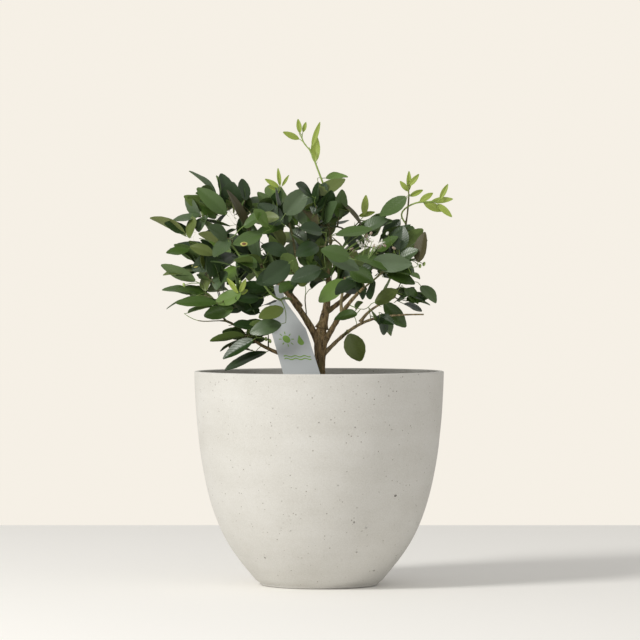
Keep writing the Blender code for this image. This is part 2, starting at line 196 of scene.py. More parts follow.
def barkPaint(name, shade, tan, moss, fine=1.0):
    paint = Paint(name, tan, 0.85, 0.25)
    strips = paint.grain(barkLook["strips"] * fine, (1, 1, 0.35), 5.0, 0.65)
    patches = paint.grain(barkLook["patches"], (1, 1, 0.6), 3.0)
    flecks = paint.between(paint.grain(barkLook["flecks"], detail=2.0), 0.60, 0.68)
    pale = tuple(min(1, part * barkLook["pale"]) for part in tan)
    body = paint.ramp(strips, [(0.34, shade), (0.52, tan), (0.70, pale)])
    mossy = paint.mixed(paint.between(patches, 0.50, 0.66) * barkLook["mossShare"], body, moss)
    paint.set("Base Color", paint.mixed(flecks * barkLook["fleckShare"], mossy, barkLook["fleck"]))
    paint.set("Roughness", 0.74 + strips * 0.2)
    paint.relief(strips + paint.grain(barkLook["fine"]) * 0.4, barkLook["relief"])
    return paint.material


def leafPaint(name, colour, roughness, gloss, veins=1.0):
    # One plain colour for each kind; the veins follow each leaf's own UV map
    paint = Paint(name, colour, roughness, gloss)
    leafMap = paint.add("ShaderNodeUVMap", dict(uv_map="leafMap"), {})
    across, along = [paint.add("ShaderNodeSeparateXYZ", {}, [leafMap], side) for side in ("X", "Y")]
    fromRib = (across - 0.5).maths("ABSOLUTE")
    step = (along * veinLook["count"] - fromRib * veinLook["sweep"]).maths("FRACT")
    ridge = (1.0 - (step - 0.5).maths("ABSOLUTE") * 2.0) ** veinLook["sharp"]
    pores = paint.grain(veinLook["pores"], detail=2.0)
    height = ridge * (veinLook["depth"] * veins) + pores * veinLook["poreDepth"]
    paint.relief(height, veinLook["relief"], veinLook["strength"])
    sheen = paint.grain(veinLook["sheen"]) * veinLook["sheenShare"]
    paint.set("Roughness", sheen + (roughness - veinLook["sheenLow"]))
    return paint.material


def plainPaint(name, colour, roughness):
    paint = Paint(name, colour, roughness)
    paint.relief(paint.grain(0.0016), 0.0002, 0.5)
    return paint.material


leafLook = {
    "dark": dict(top=(0.020, 0.046, 0.010), under=(0.080, 0.128, 0.034)),
    "grey": dict(top=(0.066, 0.108, 0.042), under=(0.100, 0.152, 0.052), gloss=0.65),
    "mid": dict(top=(0.056, 0.106, 0.018), under=(0.115, 0.172, 0.040), roughUnder=0.60),
    "olive": dict(top=(0.105, 0.140, 0.030), under=(0.155, 0.185, 0.060), rough=0.40, gloss=0.50),
    "bright": dict(top=(0.120, 0.205, 0.036), under=(0.170, 0.250, 0.070), rough=0.38, gloss=0.50,
                   veins=0.8, roughUnder=0.58),
    "young": dict(top=(0.290, 0.370, 0.062), under=(0.360, 0.440, 0.110), rough=0.42, gloss=0.45,
                  veins=0.6, roughUnder=0.50, glossUnder=0.35),
    "brown": dict(top=(0.070, 0.062, 0.026), under=(0.130, 0.120, 0.060), rough=0.45, gloss=0.45,
                  roughUnder=0.60),
}
usualLook = dict(rough=0.36, gloss=0.55, veins=1.0, roughUnder=0.62, glossUnder=0.30)
leafPaints = {}
for kind, own in leafLook.items():
    look = {**usualLook, **own}
    title = "leaf" + kind.capitalize()
    upper = leafPaint(title, look["top"], look["rough"], look["gloss"], look["veins"])
    under = leafPaint(title + "Under", look["under"], look["roughUnder"], look["glossUnder"])
    leafPaints[kind] = (upper, under)
concrete = concretePaint()
soilMix = soilPaint("pottingMix", (0.022, 0.015, 0.010), (0.085, 0.056, 0.034))
barkChip = soilPaint("barkChip", (0.045, 0.027, 0.016), (0.17, 0.105, 0.06))
bark = barkPaint("bark", (0.045, 0.029, 0.013), (0.225, 0.158, 0.078), (0.120, 0.118, 0.040))
paleBark = barkPaint("paleBark", (0.110, 0.078, 0.040), (0.320, 0.250, 0.140), (0.17, 0.17, 0.07), 0.8)
twigBark = barkPaint("twigBark", (0.050, 0.042, 0.022), (0.120, 0.110, 0.050), (0.09, 0.12, 0.035), 0.7)
plainLook = {
    "youngStem": ((0.16, 0.24, 0.055), 0.5), "limeStem": ((0.27, 0.37, 0.08), 0.45),
    "labelPlastic": ((0.50, 0.53, 0.54), 0.42), "labelInk": ((0.20, 0.36, 0.055), 0.5),
    "petalWhite": ((0.78, 0.77, 0.70), 0.5), "budBlush": ((0.42, 0.33, 0.26), 0.5),
    "budGreen": ((0.36, 0.47, 0.16), 0.5), "thornTan": ((0.22, 0.24, 0.09), 0.45),
    "leafYellow": ((0.42, 0.40, 0.10), 0.5), "leafScar": ((0.16, 0.07, 0.03), 0.7),
}
plain = {name: plainPaint(name, *look) for name, look in plainLook.items()}
print("finishes mixed")


# Meshes

def piece(name, mesh, materials, nodes=(), smooth=60):
    bm = bmesh.new()
    bm.from_mesh(mesh)
    bmesh.ops.recalc_face_normals(bm, faces=bm.faces)
    bm.to_mesh(mesh)
    bm.free()
    mesh.shade_smooth()
    mesh.set_sharp_from_angle(angle=math.radians(smooth))
    for material in materials:
        mesh.materials.append(material)
    made = holderOf(mesh, name)
    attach(made, "root")
    if nodes:
        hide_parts(*nodes)


def holderOf(mesh, name="holder"):
    holder = bpy.data.objects.new(name, mesh)
    bpy.context.collection.objects.link(holder)
    return holder


def plainMesh(holder):
    graph = bpy.context.evaluated_depsgraph_get()
    mesh = bpy.data.meshes.new_from_object(holder.evaluated_get(graph))
    bpy.data.objects.remove(holder, do_unlink=True)
    mesh.materials.clear()
    return mesh


class Build:
    def __init__(self, name, uvMap=None):
        self.name = name
        self.points = []
        self.faces = []
        self.kinds = []
        self.uvMap = uvMap
        self.uvs = []

    def face(self, corners, kind=0, uvs=None):
        self.faces.append(tuple(corners))
        self.kinds.append(kind)
        self.uvs.extend(uvs or [(0.5, 0.5)] * len(corners))

    def band(self, low, high, around):
        # Joins two rings of points, given by their first points
        for turn in range(around):
            after = (turn + 1) % around
            self.face((low + turn, low + after, high + after, high + turn))

    def fan(self, centre, first, around):
        middle = len(self.points)
        self.points.append(centre)
        for turn in range(around):
            self.face((middle, first + turn, first + (turn + 1) % around))

    def sheet(self, first, rows, cells, underKind=0):
        # Joins a front and a back layer of points into one closed sheet
        back = (rows + 1) * (cells + 1)

        def corner(row, column):
            return first + row * (cells + 1) + column

        for row in range(rows):
            for column in range(cells):
                quad = [(row, column), (row, column + 1), (row + 1, column + 1), (row + 1, column)]
                uvs = [(c / cells, r / rows) for r, c in quad]
                front = [corner(r, c) for r, c in quad]
                self.face(front, 0, uvs)
                self.face([place + back for place in reversed(front)], underKind, uvs[::-1])
        edge = [corner(row, 0) for row in range(rows + 1)]
        edge += [corner(rows, column) for column in range(1, cells + 1)]
        edge += [corner(row, cells) for row in range(rows - 1, -1, -1)]
        edge += [corner(0, column) for column in range(cells - 1, 0, -1)]
        for here, after in zip(edge, edge[1:] + edge[:1]):
            self.face((here, after, after + back, here + back), underKind)

    def tube(self, points, radii, sides):
        side = None
        first = len(self.points)
        for place, point in enumerate(points):
            before = points[max(place - 1, 0)]
            after = points[min(place + 1, len(points) - 1)]
            ahead = (after - before).normalized()
            if side is None:
                side = ahead.orthogonal().normalized()
            side = (side - ahead * side.dot(ahead)).normalized()
            other = ahead.cross(side)
            for turn in range(sides):
                angle = 2 * math.pi * turn / sides
                way = side * math.cos(angle) + other * math.sin(angle)
                self.points.append(point + way * radii[place])
        for ring in range(len(points) - 1):
            self.band(first + ring * sides, first + (ring + 1) * sides, sides)
        last = first + (len(points) - 1) * sides
        self.face(range(first + sides - 1, first - 1, -1))
        self.face(range(last, last + sides))

    def ball(self, centre, radii, axis, sides=8, rings=6):
        turned = axis.to_track_quat("Z", "Y").to_matrix()
        first = len(self.points)
        for ring in range(1, rings):
            lift = math.pi * ring / rings
            for side in range(sides):
                angle = 2 * math.pi * side / sides
                local = Vector((math.cos(angle) * math.sin(lift) * radii[0],
                                math.sin(angle) * math.sin(lift) * radii[1], -math.cos(lift) * radii[2]))
                self.points.append(centre + turned @ local)
        for ring in range(rings - 2):
            self.band(first + ring * sides, first + (ring + 1) * sides, sides)
        for end, ring in ((-1, first), (1, first + (rings - 2) * sides)):
            self.fan(centre + turned @ Vector((0, 0, end * radii[2])), ring, sides)

    def mesh(self):
        mesh = bpy.data.meshes.new(self.name)
        mesh.from_pydata([tuple(point) for point in self.points], [], self.faces)
        mesh.polygons.foreach_set("material_index", self.kinds)
        if self.uvMap:
            layer = mesh.uv_layers.new(name=self.uvMap)
            layer.data.foreach_set("uv", [value for pair in self.uvs for value in pair])
        return mesh

    def finish(self, materials, slot, nodes=(), smooth=60):
        piece(self.name, self.mesh(), materials, nodes, smooth)


def mix(first, last, share):
    return first + (last - first) * share


def smoothShare(share):
    share = min(1.0, max(0.0, share))
    return share * share * (3 - 2 * share)


def ringWay(turn, turns):
    angle = 2 * math.pi * turn / turns
    return Vector((math.cos(angle), math.sin(angle), 0))


def strayWay(chance, spread=1.0):
    return Vector([chance.gauss(0, spread) for _ in range(3)])


# Pot

pot = dict(rim=0.1400, base=0.0670, height=0.2394, wall=0.0055, floor=0.0100, bellyLow=(0.0949, 0.0373),
           bellyHigh=(0.1352, 0.0603), turns=220, rings=90, insideRings=44, bends=4, footEdge=0.0030,
           footLift=0.9, lipEdge=0.0014, floorEdge=0.006, floorRound=0.008, wobble=0.00018, lumpiness=45,
           samples=400)
# Pits seen in the wall: across and down in the photo, and radius in metres
pitsSeen = [(273, 408, 0.0010), (319, 422, 0.0011), (355, 427, 0.0010), (392, 430, 0.0010),
            (298, 427, 0.0009), (338, 485, 0.0010), (396, 497, 0.0024), (366, 529, 0.0015),
            (357, 554, 0.0013), (375, 575, 0.0016)]
pitsElsewhere = dict(count=46, smallest=0.0006, largest=0.0015, low=0.015, high=0.22, sunk=0.55,
                     flatness=(0.6, 0.9), seed=11)


def potCurve(share):
    points = ((pot["base"], 0.0), pot["bellyLow"], pot["bellyHigh"], (pot["rim"], pot["height"]))
    weights = ((1 - share) ** 3, 3 * share * (1 - share) ** 2, 3 * share**2 * (1 - share), share**3)
    return [sum(w * p[axis] for w, p in zip(weights, points)) for axis in (0, 1)]


curveRadii, curveHeights = zip(*[potCurve(step / pot["samples"]) for step in range(pot["samples"] + 1)])


def potRadius(height):
    return float(np.interp(height, curveHeights, curveRadii))


def potInside(height):
    step = 0.001
    slope = (potRadius(height + step) - potRadius(height - step)) / (2 * step)
    return potRadius(height) - pot["wall"] * math.sqrt(1 + slope * slope)


def potProfile():
    edge, lip, lipAt = pot["footEdge"], pot["lipEdge"], pot["height"] - pot["lipEdge"]
    outer, inner = pot["rim"] - lip, pot["rim"] - pot["wall"] + lip
    bends = [math.pi / 2 * step / pot["bends"] for step in range(pot["bends"] + 1)]
    profile = [(0, 0)]
    profile += [(pot["base"] - edge + edge * math.sin(bend), edge * pot["footLift"] * (1 - math.cos(bend)))
                for bend in bends]
    for step in range(1, pot["rings"] + 1):
        height = mix(edge, lipAt, step / pot["rings"])
        profile.append((potRadius(height), height))
    profile += [(outer + lip * math.cos(bend), lipAt + lip * math.sin(bend)) for bend in bends[1:]]
    profile += [(inner - lip * math.sin(bend), lipAt + lip * math.cos(bend)) for bend in bends]
    low = pot["floor"] + pot["floorEdge"]
    for step in range(pot["insideRings"] + 1):
        height = mix(pot["height"] - lip * 1.5, low, step / pot["insideRings"])
        profile.append((potInside(height), height))
    return profile + [(potInside(low) - pot["floorRound"], pot["floor"]), (0, pot["floor"])]


def potMesh():
    build = Build("potBody")
    profile, turns = potProfile(), pot["turns"]
    for radius, height in profile[1:-1]:
        for turn in range(turns):
            way = ringWay(turn, turns)
            point = way * radius + Vector((0, 0, height))
            build.points.append(point + way * pot["wobble"] * noise.noise(point * pot["lumpiness"]))
    rings = len(profile) - 2
    for ring in range(rings - 1):
        build.band(ring * turns, (ring + 1) * turns, turns)
    build.fan(Vector((0, 0, profile[0][1])), 0, turns)
    build.fan(Vector((0, 0, profile[-1][1])), (rings - 1) * turns, turns)
    return build.mesh()


def pitSpots(chance):
    spots = []
    for across, down, radius in pitsSeen:
        seen = fromPhoto(across, down, -0.12)
        front = -math.sqrt(max(potRadius(seen.z) ** 2 - seen.x * seen.x, 0))
        spots.append((Vector((seen.x, front, seen.z)), radius))
    for _ in range(pitsElsewhere["count"]):
        angle = chance.uniform(0, 2 * math.pi)
        height = chance.uniform(pitsElsewhere["low"], pitsElsewhere["high"])
        radius = mix(pitsElsewhere["smallest"], pitsElsewhere["largest"], chance.random() ** 2)
        way = Vector((math.cos(angle), math.sin(angle), 0))
        spots.append((way * potRadius(height) + Vector((0, 0, height)), radius))
    return spots


def buildPot():
    holder = holderOf(potMesh())
    chance = random.Random(pitsElsewhere["seed"])
    cutter = bmesh.new()
    for place, radius in pitSpots(chance):
        place = place - Vector((place.x, place.y, 0)).normalized() * radius * pitsElsewhere["sunk"]
        size = Matrix.Diagonal((radius, radius, radius * chance.uniform(*pitsElsewhere["flatness"]), 1))
        spot = Matrix.Translation(place) @ size
        bmesh.ops.create_icosphere(cutter, subdivisions=2, radius=1.0, matrix=spot)
    cutterMesh = bpy.data.meshes.new("pits")
    cutter.to_mesh(cutterMesh)
    cutter.free()
    pits = holderOf(cutterMesh)
    cut = holder.modifiers.new("pits", "BOOLEAN")
    cut.operation = "DIFFERENCE"
    cut.solver = "EXACT"
    cut.object = pits
    mesh = plainMesh(holder)
    bpy.data.objects.remove(pits, do_unlink=True)
    piece("potWall", mesh, [concrete], ["pot"], 40)


buildPot()
print("pot cast")


# Potting mix and its bark chips

soil = dict(level=0.2110, rings=26, around=80, rough=0.0016, grain=90, clearance=0.0012, layers=12,
            foot=0.012, chip=0.0042, chipsPerMetre=26000.0, chipRoom=0.006, chipSunk=-0.0004,
            chipSmallest=(0.25, 0.4, 0.15), chipLargest=(1.0, 0.9, 0.5), seed=5)


def soilTop(name, radius, lift):
    build = Build(name)
    around, rings = soil["around"], soil["rings"]
    for ring in range(1, rings + 1):
        for turn in range(around):
            point = ringWay(turn, around) * radius * ring / rings
            rough = noise.fractal(point * soil["grain"], 0.8, 2.2, 4) * soil["rough"]
            build.points.append(point + Vector((0, 0, soil["level"] + lift + rough * (ring < rings))))
    for low in range(0, (rings - 1) * around, around):
        for turn in range(around):
            after = (turn + 1) % around
            build.face((low + turn, low + around + turn, low + around + after, low + after))
    return build


def buildSoil():
    around = soil["around"]
    build = soilTop("soilBed", potInside(soil["level"]) - soil["clearance"], 0)
    edge = len(build.points) - around
    build.fan(Vector((0, 0, soil["level"])), 0, around)
    for step in range(1, soil["layers"] + 1):
        height = mix(soil["level"], pot["floor"] + soil["foot"], step / soil["layers"])
        radius = potInside(height) - soil["clearance"]
        first = len(build.points)
        build.points += [ringWay(turn, around) * radius + Vector((0, 0, height)) for turn in range(around)]
        build.band(edge, first, around)
        edge = first
    build.face(range(edge, edge + around))
    build.finish([soilMix], "potting_mix", ["soil"], 80)


def chipTree():
    tree = bpy.data.node_groups.new("barkChips", "GeometryNodeTree")
    sockets = {"Geometry": "Geometry", "Chips Per Square Metre": "Float", "Chip Size": "Float",
               "Seed": "Int", "Finish": "Material"}
    for name, kind in sockets.items():
        tree.interface.new_socket(name, in_out="INPUT", socket_type="NodeSocket" + kind)
    tree.interface.new_socket("Geometry", in_out="OUTPUT", socket_type="NodeSocketGeometry")
    nodes = Nodes(tree)
    source = {name: nodes.add("NodeGroupInput", {}, {}, name) for name in sockets}
    vector, seed = dict(data_type="FLOAT_VECTOR"), source["Seed"]
    spots = nodes.add("GeometryNodeDistributePointsOnFaces", {}, {
        "Mesh": source["Geometry"], "Density": source["Chips Per Square Metre"], "Seed": seed}, "Points")
    chip = nodes.add("GeometryNodeMeshIcoSphere", {}, {
        "Radius": source["Chip Size"], "Subdivisions": 1}, "Mesh")
    turn = nodes.add("FunctionNodeRandomValue", vector, {1: (6.28, 6.28, 6.28), "Seed": seed})
    size = nodes.add("FunctionNodeRandomValue", vector, {
        0: soil["chipSmallest"], 1: soil["chipLargest"], "Seed": seed})
    placed = nodes.add("GeometryNodeInstanceOnPoints", {}, {
        "Points": spots, "Instance": chip, "Rotation": turn, "Scale": size}, "Instances")
    real = nodes.add("GeometryNodeRealizeInstances", {}, {"Geometry": placed}, "Geometry")
    finished = nodes.add("GeometryNodeSetMaterial", {}, {"Geometry": real, "Material": source["Finish"]})
    nodes.add("NodeGroupOutput", {}, {"Geometry": finished})
    return tree


def buildChips():
    radius = potInside(soil["level"]) - soil["chipRoom"]
    holder = holderOf(soilTop("chipBed", radius, soil["chipSunk"]).mesh())
    scatter = holder.modifiers.new("chips", "NODES")
    scatter.node_group = chipTree()
    values = {"Chips Per Square Metre": soil["chipsPerMetre"], "Chip Size": soil["chip"],
              "Seed": soil["seed"], "Finish": barkChip}
    for item in scatter.node_group.interface.items_tree:
        if item.in_out == "INPUT" and item.name in values:
            scatter[item.identifier] = values[item.name]
    piece("soilChips", plainMesh(holder), [barkChip], [], 30)


buildSoil()
buildChips()
print("potting mix filled in")


# Trunk and boughs, on the curves of the frame's nodes

trunk = dict(foot=(0.0030, 0.0, 0.2095), top=(0.0029, 0.0, 0.2925), flare=0.0090, waist=0.0056, fork=0.0072,
             end=0.0051, flareHeight=0.0140, forkShare=0.76, swellFrom=0.40, bow=0.0018, rings=40, sides=24)
limbs = {
    "bough_centre": dict(start=(0.0029, 0.000, 0.2870), end=(0.0100, 0.012, 0.3560), leaves=(10, 76),
                         arrives=(120, 84), hold=0.40, radius=(0.0050, 0.0023)),
    "bough_centre_right": dict(start=(0.0050, 0.002, 0.3030), end=(0.0740, 0.076, 0.3780), leaves=(25, 32),
                               arrives=(58, 44), hold=0.35, radius=(0.0028, 0.0014)),
    "bough_left": dict(start=(0.0010, 0.000, 0.2690), end=(-0.0660, 0.000, 0.3570), leaves=(180, 64),
                       arrives=(180, 41), hold=0.35, radius=(0.0042, 0.0022)),
    "bough_right": dict(start=(0.0020, -0.001, 0.2650), end=(0.0501, -0.030, 0.3330), leaves=(-30, 56),
                        arrives=(-32, 36), hold=0.35, radius=(0.0037, 0.0015)),
    "bough_lower_left": dict(start=(0.0010, -0.001, 0.2520), end=(-0.0820, -0.010, 0.2800), leaves=(186, 3),
                             arrives=(186, 36), hold=0.40, radius=(0.0030, 0.0014)),
    "bough_back_left": dict(start=(-0.0220, 0.000, 0.3120), end=(-0.0900, 0.078, 0.3780), leaves=(118, 40),
                            arrives=(130, 36), hold=0.35, radius=(0.0026, 0.0014)),
    "bough_right_upright": dict(start=(0.0262, -0.016, 0.3040), end=(0.0285, -0.016, 0.3450),
                                leaves=(150, 70), arrives=(0, 88), hold=0.35, radius=(0.0018, 0.0012)),
    "bough_lower_right": dict(start=(0.0028, 0.001, 0.2556), end=(0.1177, 0.010, 0.3027), leaves=(4, 47),
                              arrives=(4, 0), hold=0.47, radius=(0.0024, 0.0008)),
    "bough_lower_right_branch": dict(start=(0.0465, 0.004, 0.2940), end=(0.0850, 0.006, 0.3220),
                                     leaves=(4, 62), arrives=(4, 24), hold=0.35, radius=(0.0017, 0.0009)),
    "shoot_top": dict(start=(0.0180, 0.000, 0.4200), end=(-0.0118, 0.000, 0.4900), leaves=(170, 60),
                      arrives=(180, 64), hold=0.35, radius=(0.0013, 0.0008)),
}
stoutLimbs = ["bough_centre", "bough_centre_right", "bough_left", "bough_right", "bough_lower_left",
              "bough_back_left"]
wood = dict(voxel=0.00050, smoothing=5, relief=0.00042, slimRelief=0.35, collar=0.55, collarLength=0.006,
            step=0.0025, slimStep=0.0009, sides=16, slimSides=14, knots=16, knotLimbs=4, knotSize=0.62,
            knotOut=0.55, swelling=0.05, swellings=420, shift=300, cracks=(420, 420, 130), crackLevel=0.8,
            crackShare=0.45, lumps=160, lumpShare=0.55, seed=3)


def heading(turn, climb):
    turn = math.radians(turn)
    climb = math.radians(climb)
    return Vector((math.cos(turn) * math.cos(climb), math.sin(turn) * math.cos(climb), math.sin(climb)))


def limbPoints(limb, step):
    start, end = Vector(limb["start"]), Vector(limb["end"])
    hold = (end - start).length * limb["hold"]
    first = start + heading(*limb["leaves"]) * hold
    last = end - heading(*limb["arrives"]) * hold
    count = max(6, round((end - start).length / step))
    points = []
    for place in range(count + 1):
        t = place / count
        near = start * (1 - t) ** 3 + first * 3 * t * (1 - t) ** 2
        points.append(near + last * 3 * t * t * (1 - t) + end * t**3)
    return points


def trunkLine():
    foot, top = Vector(trunk["foot"]), Vector(trunk["top"])
    fork, flareOver = trunk["forkShare"], trunk["flare"] - trunk["waist"]
    points, radii = [], []
    for step in range(trunk["rings"] + 1):
        share = step / trunk["rings"]
        centre = foot.lerp(top, share)
        centre.x -= trunk["bow"] * math.sin(math.pi * share)
        flare = flareOver * (1 - smoothShare(share * (top - foot).length / trunk["flareHeight"]))
        grown = smoothShare((share - trunk["swellFrom"]) / (fork - trunk["swellFrom"]))
        narrowed = smoothShare((share - fork) / (1 - fork))
        swell = (trunk["fork"] - trunk["waist"]) * grown - (trunk["fork"] - trunk["end"]) * narrowed
        points.append(centre)
        radii.append(trunk["waist"] + flare + swell)
    return points, radii


def limbRadii(limb, points):
    radii = []
    gone = 0.0
    for place, point in enumerate(points):
        gone += (point - points[place - 1]).length if place else 0
        collar = 1 + wood["collar"] * math.exp(-gone / wood["collarLength"])
        knot = 1 + wood["swelling"] * math.sin(gone * wood["swellings"] + point.x * wood["shift"])
        radii.append(mix(*limb["radius"], place / (len(points) - 1)) * collar * knot)
    return radii


def barkRelief(mesh, depth):
    mesh.update()
    wide, deep, tall = wood["cracks"]
    normals = [vertex.normal.copy() for vertex in mesh.vertices]
    for vertex, normal in zip(mesh.vertices, normals):
        at = vertex.co
        stretched = Vector((at.x * wide, at.y * deep, at.z * tall))
        crack = noise.ridged_multi_fractal(stretched, 0.9, 2.1, 3, 0.8, 2.0) - wood["crackLevel"]
        lump = noise.noise(at * wood["lumps"])
        vertex.co = at + normal * (depth * (wood["lumpShare"] * lump - wood["crackShare"] * crack))


def buildWood():
    build = Build("stoutWood")
    build.tube(*trunkLine(), trunk["sides"])
    for name in stoutLimbs:
        points = limbPoints(limbs[name], wood["step"])
        build.tube(points, limbRadii(limbs[name], points), wood["sides"])
    chance = random.Random(wood["seed"])
    for _ in range(wood["knots"]):
        limb = limbs[chance.choice(stoutLimbs[:wood["knotLimbs"]])]
        line = limbPoints(limb, wood["step"])
        place = chance.randrange(2, len(line) - 3)
        radius = mix(*limb["radius"], place / len(line))
        way = strayWay(chance).normalized()
        build.ball(line[place] + way * radius * wood["knotOut"], [radius * wood["knotSize"]] * 3, way)
    holder = holderOf(build.mesh())
    remesh = holder.modifiers.new("grown", "REMESH")
    remesh.mode = "VOXEL"
    remesh.voxel_size = wood["voxel"]
    ease = holder.modifiers.new("ease", "SMOOTH")
    ease.iterations = wood["smoothing"]
    mesh = plainMesh(holder)
    barkRelief(mesh, wood["relief"])
    piece("trunkAndBoughs", mesh, [bark], ["trunk"] + stoutLimbs, 180)


def buildSlimLimbs():
    for name, limb in limbs.items():
        if name in stoutLimbs:
            continue
        build = Build(name + "Wood")
        points = limbPoints(limb, wood["slimStep"])
        build.tube(points, limbRadii(limb, points), wood["slimSides"])
        mesh = build.mesh()
        barkRelief(mesh, wood["relief"] * wood["slimRelief"])
        shoot = name == "shoot_top"
        finish = plain["limeStem"] if shoot else (paleBark if "right" in name else bark)
        piece(build.name, mesh, [finish], [name], 180)


buildWood()
buildSlimLimbs()
print("trunk and boughs grown")


# Leaves seen in the photo, by spray: depth (metres, + away from the camera), then for each leaf
# base across, base down, tip across, tip down, seen width (photo pixels), lean of the tip
# (+1 towards the camera, -1 away), and kind; "under" after a kind shows its underside

sprays = {
    "leftTip": (-0.010, [
        (186, 236, 150, 218, 9, 0, "olive under"), (199, 216, 172, 221, 7, 0, "grey"),
        (192, 217, 190, 238, 10, 1, "olive"), (206, 216, 199, 232, 11, 1, "grey")]),
    "upperLeft": (-0.004, [
        (216, 195, 189, 171, 5, 0, "grey"), (226, 214, 197, 188, 16, 0, "mid"),
        (214, 210, 184, 196, 14, 0, "mid under"), (229, 207, 233, 182, 22, 1, "dark"),
        (250, 231, 227, 190, 8, 0, "brown"), (242, 210, 270, 199, 14, 0, "grey"),
        (272, 213, 281, 191, 13, 1, "dark"), (285, 214, 307, 189, 20, 0, "grey")]),
    "upperLeftFront": (-0.034, [
        (253, 220, 279, 218, 12, 1, "olive"), (257, 232, 285, 226, 9, 0, "mid"),
        (244, 226, 262, 214, 10, 1, "mid"), (268, 226, 254, 210, 11, 1, "bright")]),
    "leftYoung": (0.002, [
        (280, 186, 278, 168, 4, 0, "young"), (279, 187, 265, 179, 5, 0, "young"),
        (282, 186, 289, 175, 3, 0, "young"), (276, 190, 268, 186, 3, 0, "young")]),
    "longShoot": (-0.050, [
        (227, 238, 208, 227, 13, 1, "grey"), (217, 243, 199, 233, 9, 1, "olive under"),
        (229, 239, 214, 257, 13, 1, "grey"), (287, 255, 261, 246, 13, 1, "dark"),
        (240, 256, 256, 268, 12, 1, "mid"), (252, 270, 236, 262, 12, 1, "dark")]),
    "left": (-0.006, [
        (209, 251, 175, 245, 13, 0, "dark"), (219, 256, 192, 270, 18, 1, "dark"),
        (195, 281, 161, 265, 12, 0, "grey under"), (192, 294, 162, 290, 7, 0, "mid"),
        (217, 303, 176, 303, 10, 0, "mid"), (208, 272, 206, 291, 11, 1, "olive"),
        (224, 271, 217, 290, 13, 1, "grey"), (198, 271, 163, 275, 6, 0, "olive")]),
    "lowCluster": (-0.020, [
        (238, 293, 227, 278, 5, 0, "young"), (238, 292, 235, 275, 5, 0, "bright"),
        (240, 292, 246, 279, 5, 0, "young"), (240, 294, 248, 290, 4, 0, "young")]),
    "lowLeft": (-0.014, [
        (233, 308, 204, 316, 15, 0, "mid"), (245, 336, 210, 341, 8, 0, "mid under"),
        (253, 340, 223, 359, 11, 0, "dark"), (266, 352, 225, 370, 9, 0, "dark"),
        (262, 296, 246, 311, 13, 1, "dark"), (271, 289, 246, 298, 11, 1, "mid"),
        (258, 327, 233, 325, 9, 1, "dark")]),
    "overLabel": (-0.046, [
        (281, 324, 250, 333, 15, 1, "grey"), (283, 308, 259, 318, 13, 1, "olive")]),
    "frontLeft": (-0.080, [
        (289, 263, 263, 282, 20, 1, "dark"), (296, 282, 280, 293, 11, 1, "mid"),
        (321, 269, 291, 281, 16, 1, "dark"), (297, 279, 292, 293, 7, 1, "dark")]),
    "topShoot": (0.0, [
        (299, 139, 283, 132, 6, 0, "young"), (300, 133, 298, 119, 5, 0, "young"),
        (303, 132, 306, 122, 4, 0, "young"), (312, 146, 320, 122, 5, 0, "young"),
        (315, 162, 316, 135, 9, 0, "young")]),
    "top": (-0.002, [
        (326, 178, 348, 177, 7, 0, "bright"), (316, 194, 345, 179, 13, -1, "olive"),
        (318, 183, 321, 216, 14, 0, "bright"), (312, 196, 296, 184, 9, 1, "dark"),
        (364, 215, 366, 195, 7, 0, "young"), (359, 216, 375, 212, 5, 0, "young"),
        (361, 225, 341, 202, 4, 0, "brown")]),
    "rightShoot": (0.0, [
        (409, 190, 409, 171, 5, 0, "young"), (409, 186, 419, 174, 5, 0, "young"),
        (408, 191, 400, 181, 5, 0, "young"), (410, 196, 423, 190, 5, 0, "young"),
        (420, 201, 433, 193, 6, 0, "young"), (424, 203, 443, 211, 8, 0, "young"),
        (438, 204, 452, 217, 6, 0, "young"), (440, 199, 448, 184, 5, 0, "young"),
        (432, 201, 453, 199, 6, 0, "young"), (406, 197, 380, 216, 14, 0, "mid")]),
    "right": (-0.004, [
        (418, 262, 425, 232, 12, 0, "brown"), (399, 250, 403, 226, 16, 0, "dark"),
        (407, 257, 393, 243, 11, 1, "dark"), (356, 228, 393, 221, 10, 0, "mid"),
        (394, 270, 411, 275, 8, 1, "mid"), (411, 274, 420, 279, 5, 0, "bright"),
        (405, 289, 418, 304, 10, 0, "mid"), (421, 286, 436, 303, 11, 0, "mid"),
        (404, 304, 422, 311, 6, 0, "dark")]),
    "frontCentre": (-0.088, [
        (336, 235, 372, 229, 10, 0, "mid"), (349, 258, 321, 250, 16, 1, "mid"),
        (322, 232, 300, 228, 12, 1, "dark"), (318, 246, 296, 256, 15, 1, "dark"),
        (327, 254, 359, 270, 15, 1, "grey")]),
    "frontRight": (-0.072, [
        (372, 262, 412, 264, 18, 0, "grey"), (354, 257, 390, 270, 10, 1, "mid"),
        (344, 280, 319, 302, 16, 1, "bright"), (354, 281, 336, 295, 12, 1, "dark"),
        (375, 302, 398, 291, 13, 1, "olive"), (372, 281, 371, 299, 8, 1, "dark")]),
    "lowRight": (-0.004, [
        (384, 303, 406, 327, 15, 0, "mid"), (380, 317, 384, 335, 9, 0, "dark"),
        (387, 318, 391, 336, 8, 0, "mid"), (357, 314, 334, 320, 9, 0, "mid"),
        (356, 310, 363, 302, 5, 0, "bright"), (349, 334, 361, 361, 20, 0, "olive")]),
}
slimSprays = ["topShoot", "rightShoot", "longShoot", "lowCluster", "leftYoung", "overLabel", "leftTip"]
